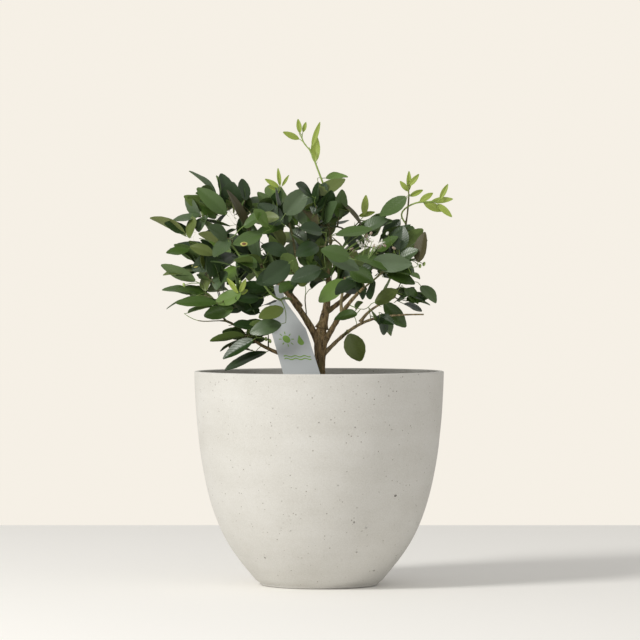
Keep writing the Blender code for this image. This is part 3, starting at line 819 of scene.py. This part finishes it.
# Shoots seen in the photo: depth, finish, and points across and down
shoots = {
    "longShoot": (-0.050, "green", [
        (276, 301), (272, 297), (262, 281), (252, 270), (240, 255), (228, 240)]),
    "topShootTip": (0.000, "lime", [(309.5, 150), (303, 142.5), (299, 133)]),
    "rightShootStem": (0.000, "brown", [(407, 227), (408, 208), (409, 190), (409.5, 181)]),
    "archingSpray": (0.000, "lime", [
        (397, 219), (399.5, 211), (407, 205.4), (418, 200.6), (431, 201), (440, 202)]),
    "darkStem": (-0.010, "brown", [(296, 266), (295, 250), (293, 236), (286, 214)]),
    "topStem": (-0.002, "brown", [(332, 236), (328, 222), (320, 208), (316, 194)]),
    "thornyTwig": (-0.014, "brown", [(246, 331), (236, 324), (225, 319.5), (212, 320.5), (198.5, 323.5)]),
    "thinTwig": (-0.006, "brown", [(311, 312), (305, 307), (301, 301), (301.6, 293)]),
    "rightOn": (-0.030, "brown", [(367, 286), (377, 277), (388, 268), (398, 258)]),
    "frontRightOn": (-0.050, "brown", [(362, 282), (352, 272), (342, 262)]),
}
leafShape = dict(width=0.0225, along=12, across=4, thickness=0.00022, rib=0.0003, bow=0.09,
                 bows=(-0.4, 1.0), fold=0.20, folds=(0.2, 1.6), ripple=0.05, ripples=(0.3, 1.2),
                 waves=9, waveShift=1.2, twist=0.35, point=0.05, belly=0.88, fullness=0.72,
                 scallop=0.025, scallops=44, petiole=0.0055, petioleYoung=0.3, seed=21)
seenRule = dict(spread=0.026, slimSpread=0.006, shortest=0.030, lean=0.004, leanMost=0.016, sway=0.2,
                perPixel=0.00118, narrowest=0.86)
fill = dict(perLitre=100, least=2, frontShare=0.12, boxShare=0.52, tries=30, hollow=0.25, rimShare=0.90,
            frontOnly=-0.03, crown=(-0.015, 0.0, 0.33), fromCrown=0.9, fromMass=0.7, stray=0.42, rise=0.1,
            baseward=0.15, roll=0.6, faceOut=1.4, shortest=0.026, longest=0.038, widths=(0.55, 0.66),
            kinds=dict(dark=40, grey=16, mid=26, olive=9, bright=7, brown=2), seed=8)
# Masses whose leaves are placed one by one, and how many more the rule adds
fewLeaves = dict(foliage_left_tip=1, foliage_top_shoot=0, foliage_right_shoot=0, foliage_low_leaf=0)
# Gaps that show the backdrop: across, down and radius in photo pixels
gaps = [(313, 308, 17), (228, 225, 7), (307, 224, 6), (342, 220, 6), (296, 318, 12), (366, 326, 8),
        (300, 335, 14), (330, 345, 20), (300, 180, 14), (355, 195, 10), (250, 185, 6), (398, 285, 5),
        (272, 340, 16), (190, 258, 3), (205, 200, 2), (372, 245, 3)]


def leafWidth(along):
    belly = math.sin(math.pi * along ** leafShape["belly"]) ** leafShape["fullness"]
    return belly * (1 + leafShape["scallop"] * math.sin(along * leafShape["scallops"]))


def addLeaf(build, base, tip, normal, width, chance, bow=None):
    axis = tip - base
    length = axis.length
    axis = axis / length
    normal = (normal - axis * normal.dot(axis)).normalized()
    side = axis.cross(normal)
    bow = chance.uniform(*leafShape["bows"]) * leafShape["bow"] if bow is None else bow
    fold = leafShape["fold"] * chance.uniform(*leafShape["folds"])
    ripple = leafShape["ripple"] * chance.uniform(*leafShape["ripples"])
    phase = chance.uniform(0, 6.28)
    twist = chance.uniform(-leafShape["twist"], leafShape["twist"])
    rows, half = leafShape["along"], leafShape["across"]
    first = len(build.points)
    for under in (0, 1):
        for row in range(rows + 1):
            v = row / rows
            reach = max(leafWidth(0.02 + 0.96 * v), leafShape["point"]) * width / 2
            turned = Matrix.Rotation(twist * (v - 0.5), 3, axis)
            sideHere, normalHere = turned @ side, turned @ normal
            for column in range(-half, half + 1):
                u = column / half
                lift = bow * length * 4 * v * (1 - v) + fold * abs(u) * reach
                wave = leafShape["waves"] * v + phase + (leafShape["waveShift"] if u > 0 else 0)
                lift += ripple * reach * u * u * math.sin(wave)
                lift -= (0 if column else leafShape["rib"]) + under * leafShape["thickness"]
                build.points.append(base + axis * length * v + sideHere * u * reach + normalHere * lift)
    build.sheet(first, rows, 2 * half, 1)


def seenLeaves():
    chance = random.Random(leafShape["seed"])
    found = []
    for spray, (depth, leaves) in sprays.items():
        spread = seenRule["slimSpread" if spray in slimSprays else "spread"]
        for bx, by, tx, ty, wide, toward, kind in leaves:
            young = kind == "young"
            at = depth + chance.uniform(-1, 1) * spread
            base = fromPhoto(bx, by, at)
            flat = (fromPhoto(tx, ty, at) - base).length
            size = flat if young else max(flat, seenRule["shortest"])
            over = math.sqrt(max(size * size - flat * flat, 0)) + seenRule["lean"]
            slide = -toward * min(over, seenRule["leanMost"])
            slide += chance.uniform(-seenRule["sway"], seenRule["sway"]) * flat
            tip = fromPhoto(tx, ty, at + slide)
            axis = (tip - base).normalized()
            drawn = (fromPhoto(tx, ty, 0) - fromPhoto(bx, by, 0)).length
            seenWidth = min(wide, wide * (tip - base).length / max(drawn, 0.01)) * seenRule["perPixel"]
            width = seenWidth if young else max(seenWidth, leafShape["width"] * seenRule["narrowest"])
            opened = min(1.0, seenWidth / width)
            facing = Vector((0, -1, 0))
            facing = (facing - axis * facing.dot(axis)).normalized()
            up = axis.cross(facing)
            up = up if up.z >= 0 else -up
            if "under" in kind:
                facing = -facing
            normal = facing * opened + up * math.sqrt(max(1 - opened * opened, 0))
            found.append(dict(base=base, tip=tip, normal=normal, width=width, kind=kind.split()[0]))
    return found


def inGap(point):
    local = cameraTurn.inverted() @ (point - Vector(camera["place"]))
    across = camera["picture"] / 2 + local.x / -local.z / pixel
    down = camera["picture"] / 2 - local.y / -local.z / pixel
    return any((across - x) ** 2 + (down - y) ** 2 < r * r for x, y, r in gaps)


masses = {}
for name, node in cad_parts.items():
    if name.startswith("foliage"):
        corners = [vertex.co.copy() for vertex in node.data.vertices]
        low, high = (Vector(corner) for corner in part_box(name))
        tree = BVHTree.FromPolygons(corners, [tuple(face.vertices) for face in node.data.polygons])
        masses[name] = dict(low=low, high=high, middle=(low + high) / 2, surface=tree)


def within(mass, point):
    hit = mass["surface"].ray_cast(mass["middle"], (point - mass["middle"]).normalized())
    return hit[0] is None or hit[3] >= (point - mass["middle"]).length


def fillLeaf(mass, front, chance):
    # One try at a leaf; None in the hollow middle, outside the mass, in a gap or too far forward
    low, high = mass["low"], mass["high"]
    size = high - low
    point = Vector([chance.uniform(low[axis], high[axis]) for axis in range(3)])
    outward = point - mass["middle"]
    relative = math.sqrt(sum((outward[axis] / (size[axis] / 2)) ** 2 for axis in range(3)))
    if relative < fill["hollow"] or not within(mass, point):
        return None
    length = chance.uniform(fill["shortest"], fill["longest"])
    way = (point - Vector(fill["crown"])).normalized() * fill["fromCrown"]
    way += outward.normalized() * fill["fromMass"]
    way += strayWay(chance, fill["stray"]) + Vector((0, 0, fill["rise"]))
    way.normalize()
    middle = point - way * length * fill["baseward"]
    base, tip = middle - way * length / 2, middle + way * length / 2
    if not within(mass, mass["middle"].lerp(tip, fill["rimShare"])) or inGap(tip) or inGap(middle):
        return None
    if tip.y < fill["frontOnly"] and not front:
        return None
    up = Vector((0, 0, 1))
    normal = up + way.cross(up) * chance.gauss(0, fill["roll"])
    normal += Vector((outward.x, outward.y, 0)).normalized() * chance.uniform(0, fill["faceOut"])
    kind = chance.choices(list(fill["kinds"]), list(fill["kinds"].values()))[0]
    width = length * chance.uniform(*fill["widths"])
    return dict(base=base, tip=tip, normal=normal, width=width, kind=kind)


def fillLeaves():
    found = []
    for name in sorted(masses):
        mass = masses[name]
        chance = random.Random(name + str(fill["seed"]))
        size = mass["high"] - mass["low"]
        litres = size.x * size.y * size.z * fill["boxShare"] * 1000
        count = max(fill["least"], round(litres * fill["perLitre"]))
        if "front" in name:
            count = round(count * fill["frontShare"])
        count = fewLeaves.get(name, count)
        made = []
        for _ in range(count * fill["tries"]):
            if len(made) >= count:
                break
            leaf = fillLeaf(mass, "front" in name, chance)
            if leaf:
                made.append(leaf)
        found += made
    return found


# Twigs: each leaf stem is reached by the cheapest new twig from the wood that is already there

twigs = dict(step=0.006, thin=0.00042, power=0.46, bendAt=0.35, stiffness=0.30, reach=0.006, bareCost=2.6,
             turnCost=0.9, easyLean=0.2, slimmer=0.85, onLimb=0.8, limbStep=0.004, limbFrom=0.15,
             bareTo=0.55, shootThick=0.0014, intoLeaf=0.03, leafEnd=0.95, jitter=0.00065,
             easing=6, hold=0.4, pull=0.3, sides=7, brownFrom=4, seed=13)


class Growth:
    def __init__(self, leaves):
        self.leaves = leaves
        self.chance = random.Random(twigs["seed"])
        self.places, self.parents, self.ahead, self.limit = [], [], [], []
        self.bare, self.chains = [], []
        self.followLimbs()
        self.rooted = len(self.places)
        self.followShoots()
        self.joinLeaves()
        self.ease()
        self.counts = [0] * len(self.places)
        for line, _, _ in self.chains:
            node = line[-1]
            while node >= 0:
                self.counts[node] += 1
                node = self.parents[node]

    def addNode(self, point, parent, way, thickest):
        self.places.append(point)
        self.parents.append(parent)
        self.ahead.append(way)
        self.limit.append(thickest)
        return len(self.places) - 1

    def costs(self, point, bareCost):
        # How far each node is, dearer where the twig would turn back or leave a limb's bare foot
        gap = np.array(tuple(point)) - np.array([tuple(place) for place in self.places])
        far = np.linalg.norm(gap, axis=1) + 1e-9
        lean = (gap * np.array([tuple(way) for way in self.ahead])).sum(axis=1) / far
        shy = np.ones(len(far))
        shy[self.bare] = bareCost
        return far * shy * (1.0 + twigs["turnCost"] * np.clip(twigs["easyLean"] - lean, 0, None))

    def reach(self, point, bareCost=twigs["bareCost"]):
        root = int(self.costs(point, bareCost).argmin())
        start = self.places[root]
        distance = (point - start).length
        bend = start.lerp(point, twigs["bendAt"])
        bend += self.ahead[root] * min(distance * twigs["stiffness"], twigs["reach"])
        count = max(1, round(distance / twigs["step"]))
        line, before = [root], root
        for place in range(1, count + 1):
            t = place / count
            spot = start * (1 - t) ** 2 + bend * 2 * t * (1 - t) + point * t * t
            if place < count:
                spot += strayWay(self.chance) * twigs["jitter"]
            way = spot - self.places[before]
            way = way.normalized() if way.length > 1e-6 else self.ahead[before]
            thickest = min(self.limit[before], self.limit[root] * twigs["slimmer"])
            before = self.addNode(spot, before, way, thickest)
            line.append(before)
        return line

    def followLimbs(self):
        for name, limb in limbs.items():
            line = limbPoints(limb, twigs["limbStep"])
            before = -1
            for place, point in enumerate(line):
                if place < len(line) * twigs["limbFrom"]:
                    continue
                if name in stoutLimbs and place < len(line) * twigs["bareTo"]:
                    self.bare.append(len(self.places))
                way = (line[min(place + 1, len(line) - 1)] - line[place - 1]).normalized()
                thickest = mix(*limb["radius"], place / len(line)) * twigs["onLimb"]
                before = self.addNode(point, before, way, thickest)

    def followShoots(self):
        for depth, finish, points in shoots.values():
            line = [fromPhoto(across, down, depth) for across, down in points]
            path = self.reach(line[0], 1.0)
            for first, last in zip(line, line[1:]):
                count = max(1, round((last - first).length / twigs["step"]))
                way = (last - first).normalized()
                for step in range(1, count + 1):
                    spot = first.lerp(last, step / count)
                    path.append(self.addNode(spot, path[-1], way, twigs["shootThick"]))
            self.chains.append((path, None, finish))

    def joinLeaves(self):
        stems = []
        for leaf in self.leaves:
            axis = (leaf["tip"] - leaf["base"]).normalized()
            short = leafShape["petioleYoung"] if leaf["kind"] == "young" else 1.0
            stems.append(leaf["base"] - axis * leafShape["petiole"] * short)
        costs = np.array([self.costs(stem, twigs["bareCost"]).min() for stem in stems])
        waiting = list(range(len(stems)))
        while waiting:
            pick = min(waiting, key=lambda place: costs[place])
            waiting.remove(pick)
            line = self.reach(stems[pick])
            self.chains.append((line, pick, None))
            for place in waiting:
                for node in line[1:]:
                    gap = stems[place] - self.places[node]
                    lean = gap.normalized().dot(self.ahead[node]) if gap.length > 1e-9 else 1
                    turn = 1 + twigs["turnCost"] * max(0.0, twigs["easyLean"] - lean)
                    costs[place] = min(costs[place], gap.length * turn)

    def ease(self):
        # The twigs are eased into soft curves between the limbs and the leaf stems
        children = [[] for _ in self.places]
        for place, parent in enumerate(self.parents):
            if parent >= 0:
                children[parent].append(place)
        for _ in range(twigs["easing"]):
            eased = [place.copy() for place in self.places]
            for place in range(self.rooted, len(self.places)):
                after = [self.places[child] for child in children[place]]
                if after:
                    ends = self.places[self.parents[place]] + sum(after, Vector()) / len(after)
                    eased[place] = self.places[place] * twigs["hold"] + ends * twigs["pull"]
            self.places = eased

    def tubes(self):
        builds = {finish: Build(finish + "Twigs") for finish in ("brown", "green", "lime")}
        for line, end, finish in self.chains:
            own = line[1:] if len(line) > 1 else line
            size = [min(twigs["thin"] * max(self.counts[node], 1) ** twigs["power"], self.limit[node])
                    for node in own]
            points = [self.places[line[0]]] + [self.places[node] for node in own]
            radii = [size[0]] + size
            leaf = self.leaves[end] if end is not None else None
            if leaf:
                points.append(leaf["base"] + (leaf["tip"] - leaf["base"]) * twigs["intoLeaf"])
                radii.append(twigs["thin"] * twigs["leafEnd"])
            if finish is None:
                stout = self.counts[own[0]] >= twigs["brownFrom"]
                finish = "lime" if leaf["kind"] == "young" else ("brown" if stout else "green")
            kept = [place for place in range(len(points))
                    if place == 0 or (points[place] - points[place - 1]).length > 1e-5]
            if len(kept) > 1:
                builds[finish].tube([points[place] for place in kept], [radii[place] for place in kept],
                                    twigs["sides"])
        return builds


leaves = seenLeaves() + fillLeaves()
print("leaves laid out:", len(leaves))
growth = Growth(leaves)
twigLook = {"brown": (twigBark, "bark"), "green": (plain["youngStem"], "young_wood"),
            "lime": (plain["limeStem"], "young_wood")}
for finish, build in growth.tubes().items():
    paint, slot = twigLook[finish]
    build.finish([paint], slot, [], 50)
print("twigs grown:", len(growth.places))

leafChance = random.Random(leafShape["seed"] + 1)
youngMasses = ["foliage_top_shoot", "foliage_right_shoot"]
for kind, finishes in leafPaints.items():
    build = Build(kind + "Leaves", "leafMap")
    for leaf in leaves:
        if leaf["kind"] == kind:
            addLeaf(build, leaf["base"], leaf["tip"], leaf["normal"], leaf["width"], leafChance)
    young = kind == "young"
    nodes = [name for name in masses if (name in youngMasses) == young]
    build.finish(finishes, "young_leaves" if young else "leaves", nodes, 70)
print("leaves opened")


# Thorns, buds and blossom

thorns = dict(count=90, length=0.0065, lengths=(0.5, 1.2), radius=0.00045, taper=(1.3, 0.8, 0.45, 0.08),
              forward=0.5, sides=5, seed=17)
# Buds and blossom: across and down in the photo, and depth
buds = [(184, 285, -0.006), (240, 282, -0.022), (366, 231, -0.05), (340, 233, -0.06), (321, 209, -0.01),
        (420, 266, -0.004), (424, 264, -0.004), (270, 341, -0.034), (266, 339, -0.034)]
blossom = dict(middles=[(367, 240, -0.062), (381, 243, -0.066), (374, 248, -0.070), (362, 246, -0.064)],
               petals=5, petal=(0.0013, 0.0006, 0.0029), petalOut=0.0024, petalStray=0.2,
               heart=(0.0012, 0.0012, 0.0018), bud=(0.0016, 0.0016, 0.0027),
               greenBud=(0.0017, 0.0017, 0.0026), budsEach=5, budsOut=0.0055,
               blushShare=0.6, stalk=(0.0005, 0.00042, 0.0004), seed=29)


def buildThorns():
    chance = random.Random(thorns["seed"])
    build = Build("thorns")
    able = [place for place, count in enumerate(growth.counts) if count >= 2]
    for _ in range(thorns["count"]):
        place = chance.choice(able)
        root, ahead = growth.places[place], growth.ahead[place]
        way = strayWay(chance)
        way = (way - ahead * way.dot(ahead)).normalized() + ahead * thorns["forward"]
        length = thorns["length"] * chance.uniform(*thorns["lengths"])
        points = [root + way.normalized() * length * step / 3 for step in range(4)]
        build.tube(points, [thorns["radius"] * size for size in thorns["taper"]], thorns["sides"])
    build.finish([plain["thornTan"]], "young_wood")


def stalk(build, point):
    root = min(growth.places, key=lambda place: (point - place).length)
    middle = (root + point) / 2 + Vector((0, 0, 0.001))
    build.tube([root, middle, point], blossom["stalk"], 6)


def buildBlossom():
    chance = random.Random(blossom["seed"])
    white, blush, green = Build("petals"), Build("blushBuds"), Build("greenBuds")
    stalks = Build("flowerStalks")
    for across, down, depth in buds:
        point = fromPhoto(across, down, depth)
        stalk(stalks, point)
        green.ball(point, blossom["greenBud"], Vector((chance.gauss(0, 0.4), chance.gauss(0, 0.4), 1)))
    for across, down, depth in blossom["middles"]:
        centre = fromPhoto(across, down, depth)
        stalk(stalks, centre)
        facing = Vector((chance.gauss(0, 0.4), -1, chance.gauss(0.5, 0.3))).normalized()
        side = facing.orthogonal().normalized()
        for petal in range(blossom["petals"]):
            turn = 2 * math.pi * petal / blossom["petals"]
            turn += chance.uniform(-blossom["petalStray"], blossom["petalStray"])
            way = (Matrix.Rotation(turn, 3, facing) @ side * 0.9 + facing * 0.5).normalized()
            white.ball(centre + way * blossom["petalOut"], blossom["petal"], way)
        green.ball(centre + facing * 0.001, blossom["heart"], facing)
        for _ in range(blossom["budsEach"]):
            spot = centre + strayWay(chance, blossom["budsOut"])
            stalk(stalks, spot)
            build = blush if chance.random() < blossom["blushShare"] else white
            build.ball(spot, blossom["bud"], spot - centre)
    white.finish([plain["petalWhite"]], "leaves")
    blush.finish([plain["budBlush"]], "leaves")
    green.finish([plain["budGreen"]], "young_leaves")
    stalks.finish([plain["youngStem"]], "young_wood")


# One leaf has a brown spot in a yellow ring, another a yellow patch
spotted = dict(base=(262, 234, -0.056), tip=(233, 244, -0.060), spot=(244, 244, -0.0605),
               patch=(195, 266, -0.0165), facing=(0, -1, 0.35), width=0.0165,
               ring=(0.0042, 0.0026, 0.0006), scar=(0.0026, 0.0016, 0.0006), proud=0.0003,
               patchSize=(0.0036, 0.0020, 0.0005), sides=14, seed=4)


def buildSpots():
    yellow, scar = Build("yellowPatches"), Build("brownSpots")
    base, tip = fromPhoto(*spotted["base"]), fromPhoto(*spotted["tip"])
    facing = Vector(spotted["facing"])
    chance = random.Random(spotted["seed"])
    leaf = Build("spottedLeaf", "leafMap")
    addLeaf(leaf, base, tip, facing, spotted["width"], chance, 0.0)
    leaf.finish(leafPaints["mid"], "leaves", [], 70)
    facing.normalize()
    centre = fromPhoto(*spotted["spot"])
    yellow.ball(centre, spotted["ring"], facing, spotted["sides"])
    scar.ball(centre + facing * spotted["proud"], spotted["scar"], facing, spotted["sides"])
    yellow.ball(fromPhoto(*spotted["patch"]), spotted["patchSize"], facing, spotted["sides"])
    stem = Build("spottedLeafStem")
    stalk(stem, base)
    stem.finish([plain["youngStem"]], "young_wood")
    yellow.finish([plain["leafYellow"]], "leaves")
    scar.finish([plain["leafScar"]], "leaves")


buildThorns()
buildBlossom()
buildSpots()
print("thorns, buds and blossom set")


# Plant label, with a plain care design of a sun, a drop and two waves

label = dict(foot=(-0.0111, -0.0300, 0.2095), length=0.1264, width=0.0421, rightShoulder=0.0770,
             leftShoulder=0.0888, neckStart=0.1078, neckWidth=0.0092, narrowing=0.88, thickness=0.0008,
             leanSide=-15.9, leanBack=7.0, bow=0.0016, rows=60, columns=12, crowding=1.25, tipShare=0.9995)
sun = dict(middle=(-0.0065, 0.0660), radius=0.0042, ray=0.0030, rayGap=0.0012, rayHalf=0.0005, rays=8,
           sides=24)
drop = dict(middle=(0.0085, 0.0630), radius=0.0036, tall=2.1, pinch=0.75)
waves = dict(wide=0.030, heights=(0.0470, 0.0440), steps=14, swing=0.0008, turn=1.3, thick=0.0012)
printRise = (0.00012, -0.0001)


def labelEdges(up):
    half, neck = label["width"] / 2, label["neckWidth"] / 2
    top = label["length"]
    if up > top - neck:
        rest = math.sqrt(max(neck * neck - (up - top + neck) ** 2, 0))
        return -rest, rest
    narrow = half * label["narrowing"]
    right = mix(half, narrow, up / label["rightShoulder"])
    if up > label["rightShoulder"]:
        share = (up - label["rightShoulder"]) / (label["neckStart"] - label["rightShoulder"])
        right = mix(narrow, neck, min(1, share))
    left = half
    if up > label["leftShoulder"]:
        rise = (up - label["leftShoulder"]) / (label["neckStart"] - label["leftShoulder"])
        left = neck + (half - neck) * math.sin(math.acos(min(1, rise)))
    return -left, right


def onLabel(across, up, proud=0.0):
    lean = Vector((math.tan(math.radians(label["leanSide"])), math.tan(math.radians(label["leanBack"])), 1))
    arch = label["bow"] * (1 - (across / (label["width"] / 2)) ** 2)
    return Vector(label["foot"]) + Vector((across, -arch - proud, 0)) + lean * up


def buildLabel():
    build = Build("labelPlate")
    rows, columns = label["rows"], label["columns"]
    for layer in (0, 1):
        for row in range(rows + 1):
            up = label["length"] * (1 - (1 - row / rows) ** label["crowding"]) * label["tipShare"]
            left, right = labelEdges(up)
            for column in range(columns + 1):
                across = mix(left, right, column / columns)
                build.points.append(onLabel(across, up, -layer * label["thickness"]))
    build.sheet(0, rows, columns)
    build.finish([plain["labelPlastic"]], "label_plastic", ["label"], 40)


def printShape(build, outline):
    first, count = len(build.points), len(outline)
    middle = (sum(x for x, _ in outline) / count, sum(y for _, y in outline) / count)
    for proud in printRise:
        build.points += [onLabel(x, y, proud) for x, y in [middle, *outline]]
    back = first + count + 1
    for place in range(count):
        after = (place + 1) % count
        build.face((first, first + 1 + place, first + 1 + after))
        build.face((back, back + 1 + after, back + 1 + place))
        build.face((first + 1 + place, back + 1 + place, back + 1 + after, first + 1 + after))


def buildPrint():
    build = Build("labelPrint")
    ring = [ringWay(step, sun["sides"]) for step in range(sun["sides"])]
    x, y = sun["middle"]
    printShape(build, [(x + sun["radius"] * way.x, y + sun["radius"] * way.y) for way in ring])
    near = sun["radius"] + sun["rayGap"]
    far = near + sun["ray"]
    for ray in range(sun["rays"]):
        out = ringWay(ray, sun["rays"])
        cross = Vector((-out.y, out.x, 0)) * sun["rayHalf"]
        corners = [out * near - cross, out * far - cross, out * far + cross, out * near + cross]
        printShape(build, [(x + corner.x, y + corner.y) for corner in corners])
    x, y = drop["middle"]
    outline = []
    for way in ring:
        above = way.y >= 0
        pinch = 1 - way.y * drop["pinch"] if above else 1
        tall = drop["tall"] if above else 1
        outline.append((x + drop["radius"] * way.x * pinch, y + drop["radius"] * way.y * tall))
    printShape(build, outline)
    steps, wide, thick = waves["steps"], waves["wide"], waves["thick"]
    for up in waves["heights"]:
        line = [(-wide / 2 + wide * step / steps, up + waves["swing"] * math.sin(step * waves["turn"]))
                for step in range(steps + 1)]
        for (left, leftUp), (right, rightUp) in zip(line, line[1:]):
            printShape(build, [(left, leftUp + thick / 2), (right, rightUp + thick / 2),
                               (right, rightUp - thick / 2), (left, leftUp - thick / 2)])
    build.finish([plain["labelInk"]], "label_plastic", [], 40)


buildLabel()
buildPrint()
print("label printed")


# Stage: a pale floor that ends where the photo's floor line is, cream behind it

stage = dict(floorBack=0.98, floorFront=-5.0, floorSide=4.0, floorDown=-0.0002,
             floorTone=(0.955, 0.940, 0.910), backdrop=(0.920, 0.872, 0.790),
             fillTone=(1.0, 0.985, 0.955), fillPower=0.54, aim=(0, 0, 0.25))
lamps = {
    "key": dict(place=(-2.5, -1.9, 2.4), size=1.1, watts=92.0, tone=(1.0, 0.985, 0.95)),
    "front": dict(place=(-0.4, -3.8, 1.2), size=2.0, watts=9.0, tone=(1.0, 0.99, 0.97)),
}


def buildFloor():
    mesh = bpy.data.meshes.new("floor")
    side, down = stage["floorSide"], stage["floorDown"]
    near, far = stage["floorFront"], stage["floorBack"]
    corners = [(-side, near, down), (side, near, down), (side, far, down), (-side, far, down)]
    mesh.from_pydata(corners, [], [(0, 1, 2, 3)])
    mesh.materials.append(Paint("paleFloor", stage["floorTone"], 0.7, 0.2).material)
    holderOf(mesh, "floor")


def buildWorld():
    # The backdrop's colour is what the camera sees, and the fill is what lights the tree
    world = bpy.data.worlds.new("studio")
    world.use_nodes = True
    nodes = Nodes(world.node_tree)
    shown = nodes.add("ShaderNodeBackground", {}, {"Color": (*stage["backdrop"], 1.0)})
    soft = nodes.add("ShaderNodeBackground", {}, {
        "Color": (*stage["fillTone"], 1.0), "Strength": stage["fillPower"]})
    toCamera = nodes.add("ShaderNodeLightPath", {}, {}, "Is Camera Ray")
    choice = nodes.add("ShaderNodeMixShader", {}, [toCamera, soft, shown])
    nodes.tree.links.new(choice.socket, nodes.tree.nodes["World Output"].inputs["Surface"])
    bpy.context.scene.world = world


def buildLamps():
    for name, lamp in lamps.items():
        light = bpy.data.lights.new(name, "AREA")
        light.shape = "DISK"
        light.size = lamp["size"]
        light.energy = lamp["watts"]
        light.color = lamp["tone"]
        holder = holderOf(light, name)
        holder.location = lamp["place"]
        aim = Vector(stage["aim"]) - Vector(lamp["place"])
        holder.rotation_euler = aim.to_track_quat("-Z", "Y").to_euler()


def buildCamera():
    lens = bpy.data.cameras.new("camera")
    lens.lens = camera["lens"]
    lens.sensor_width = camera["sensor"]
    lens.clip_end = 50
    eye = holderOf(lens, "camera")
    eye.location = camera["place"]
    eye.rotation_euler = (math.radians(camera["tilt"]), 0, 0)
    bpy.context.scene.camera = eye
    bpy.context.scene.view_settings.view_transform = "Standard"


buildFloor()
buildWorld()
buildLamps()
buildCamera()
print("stage set")
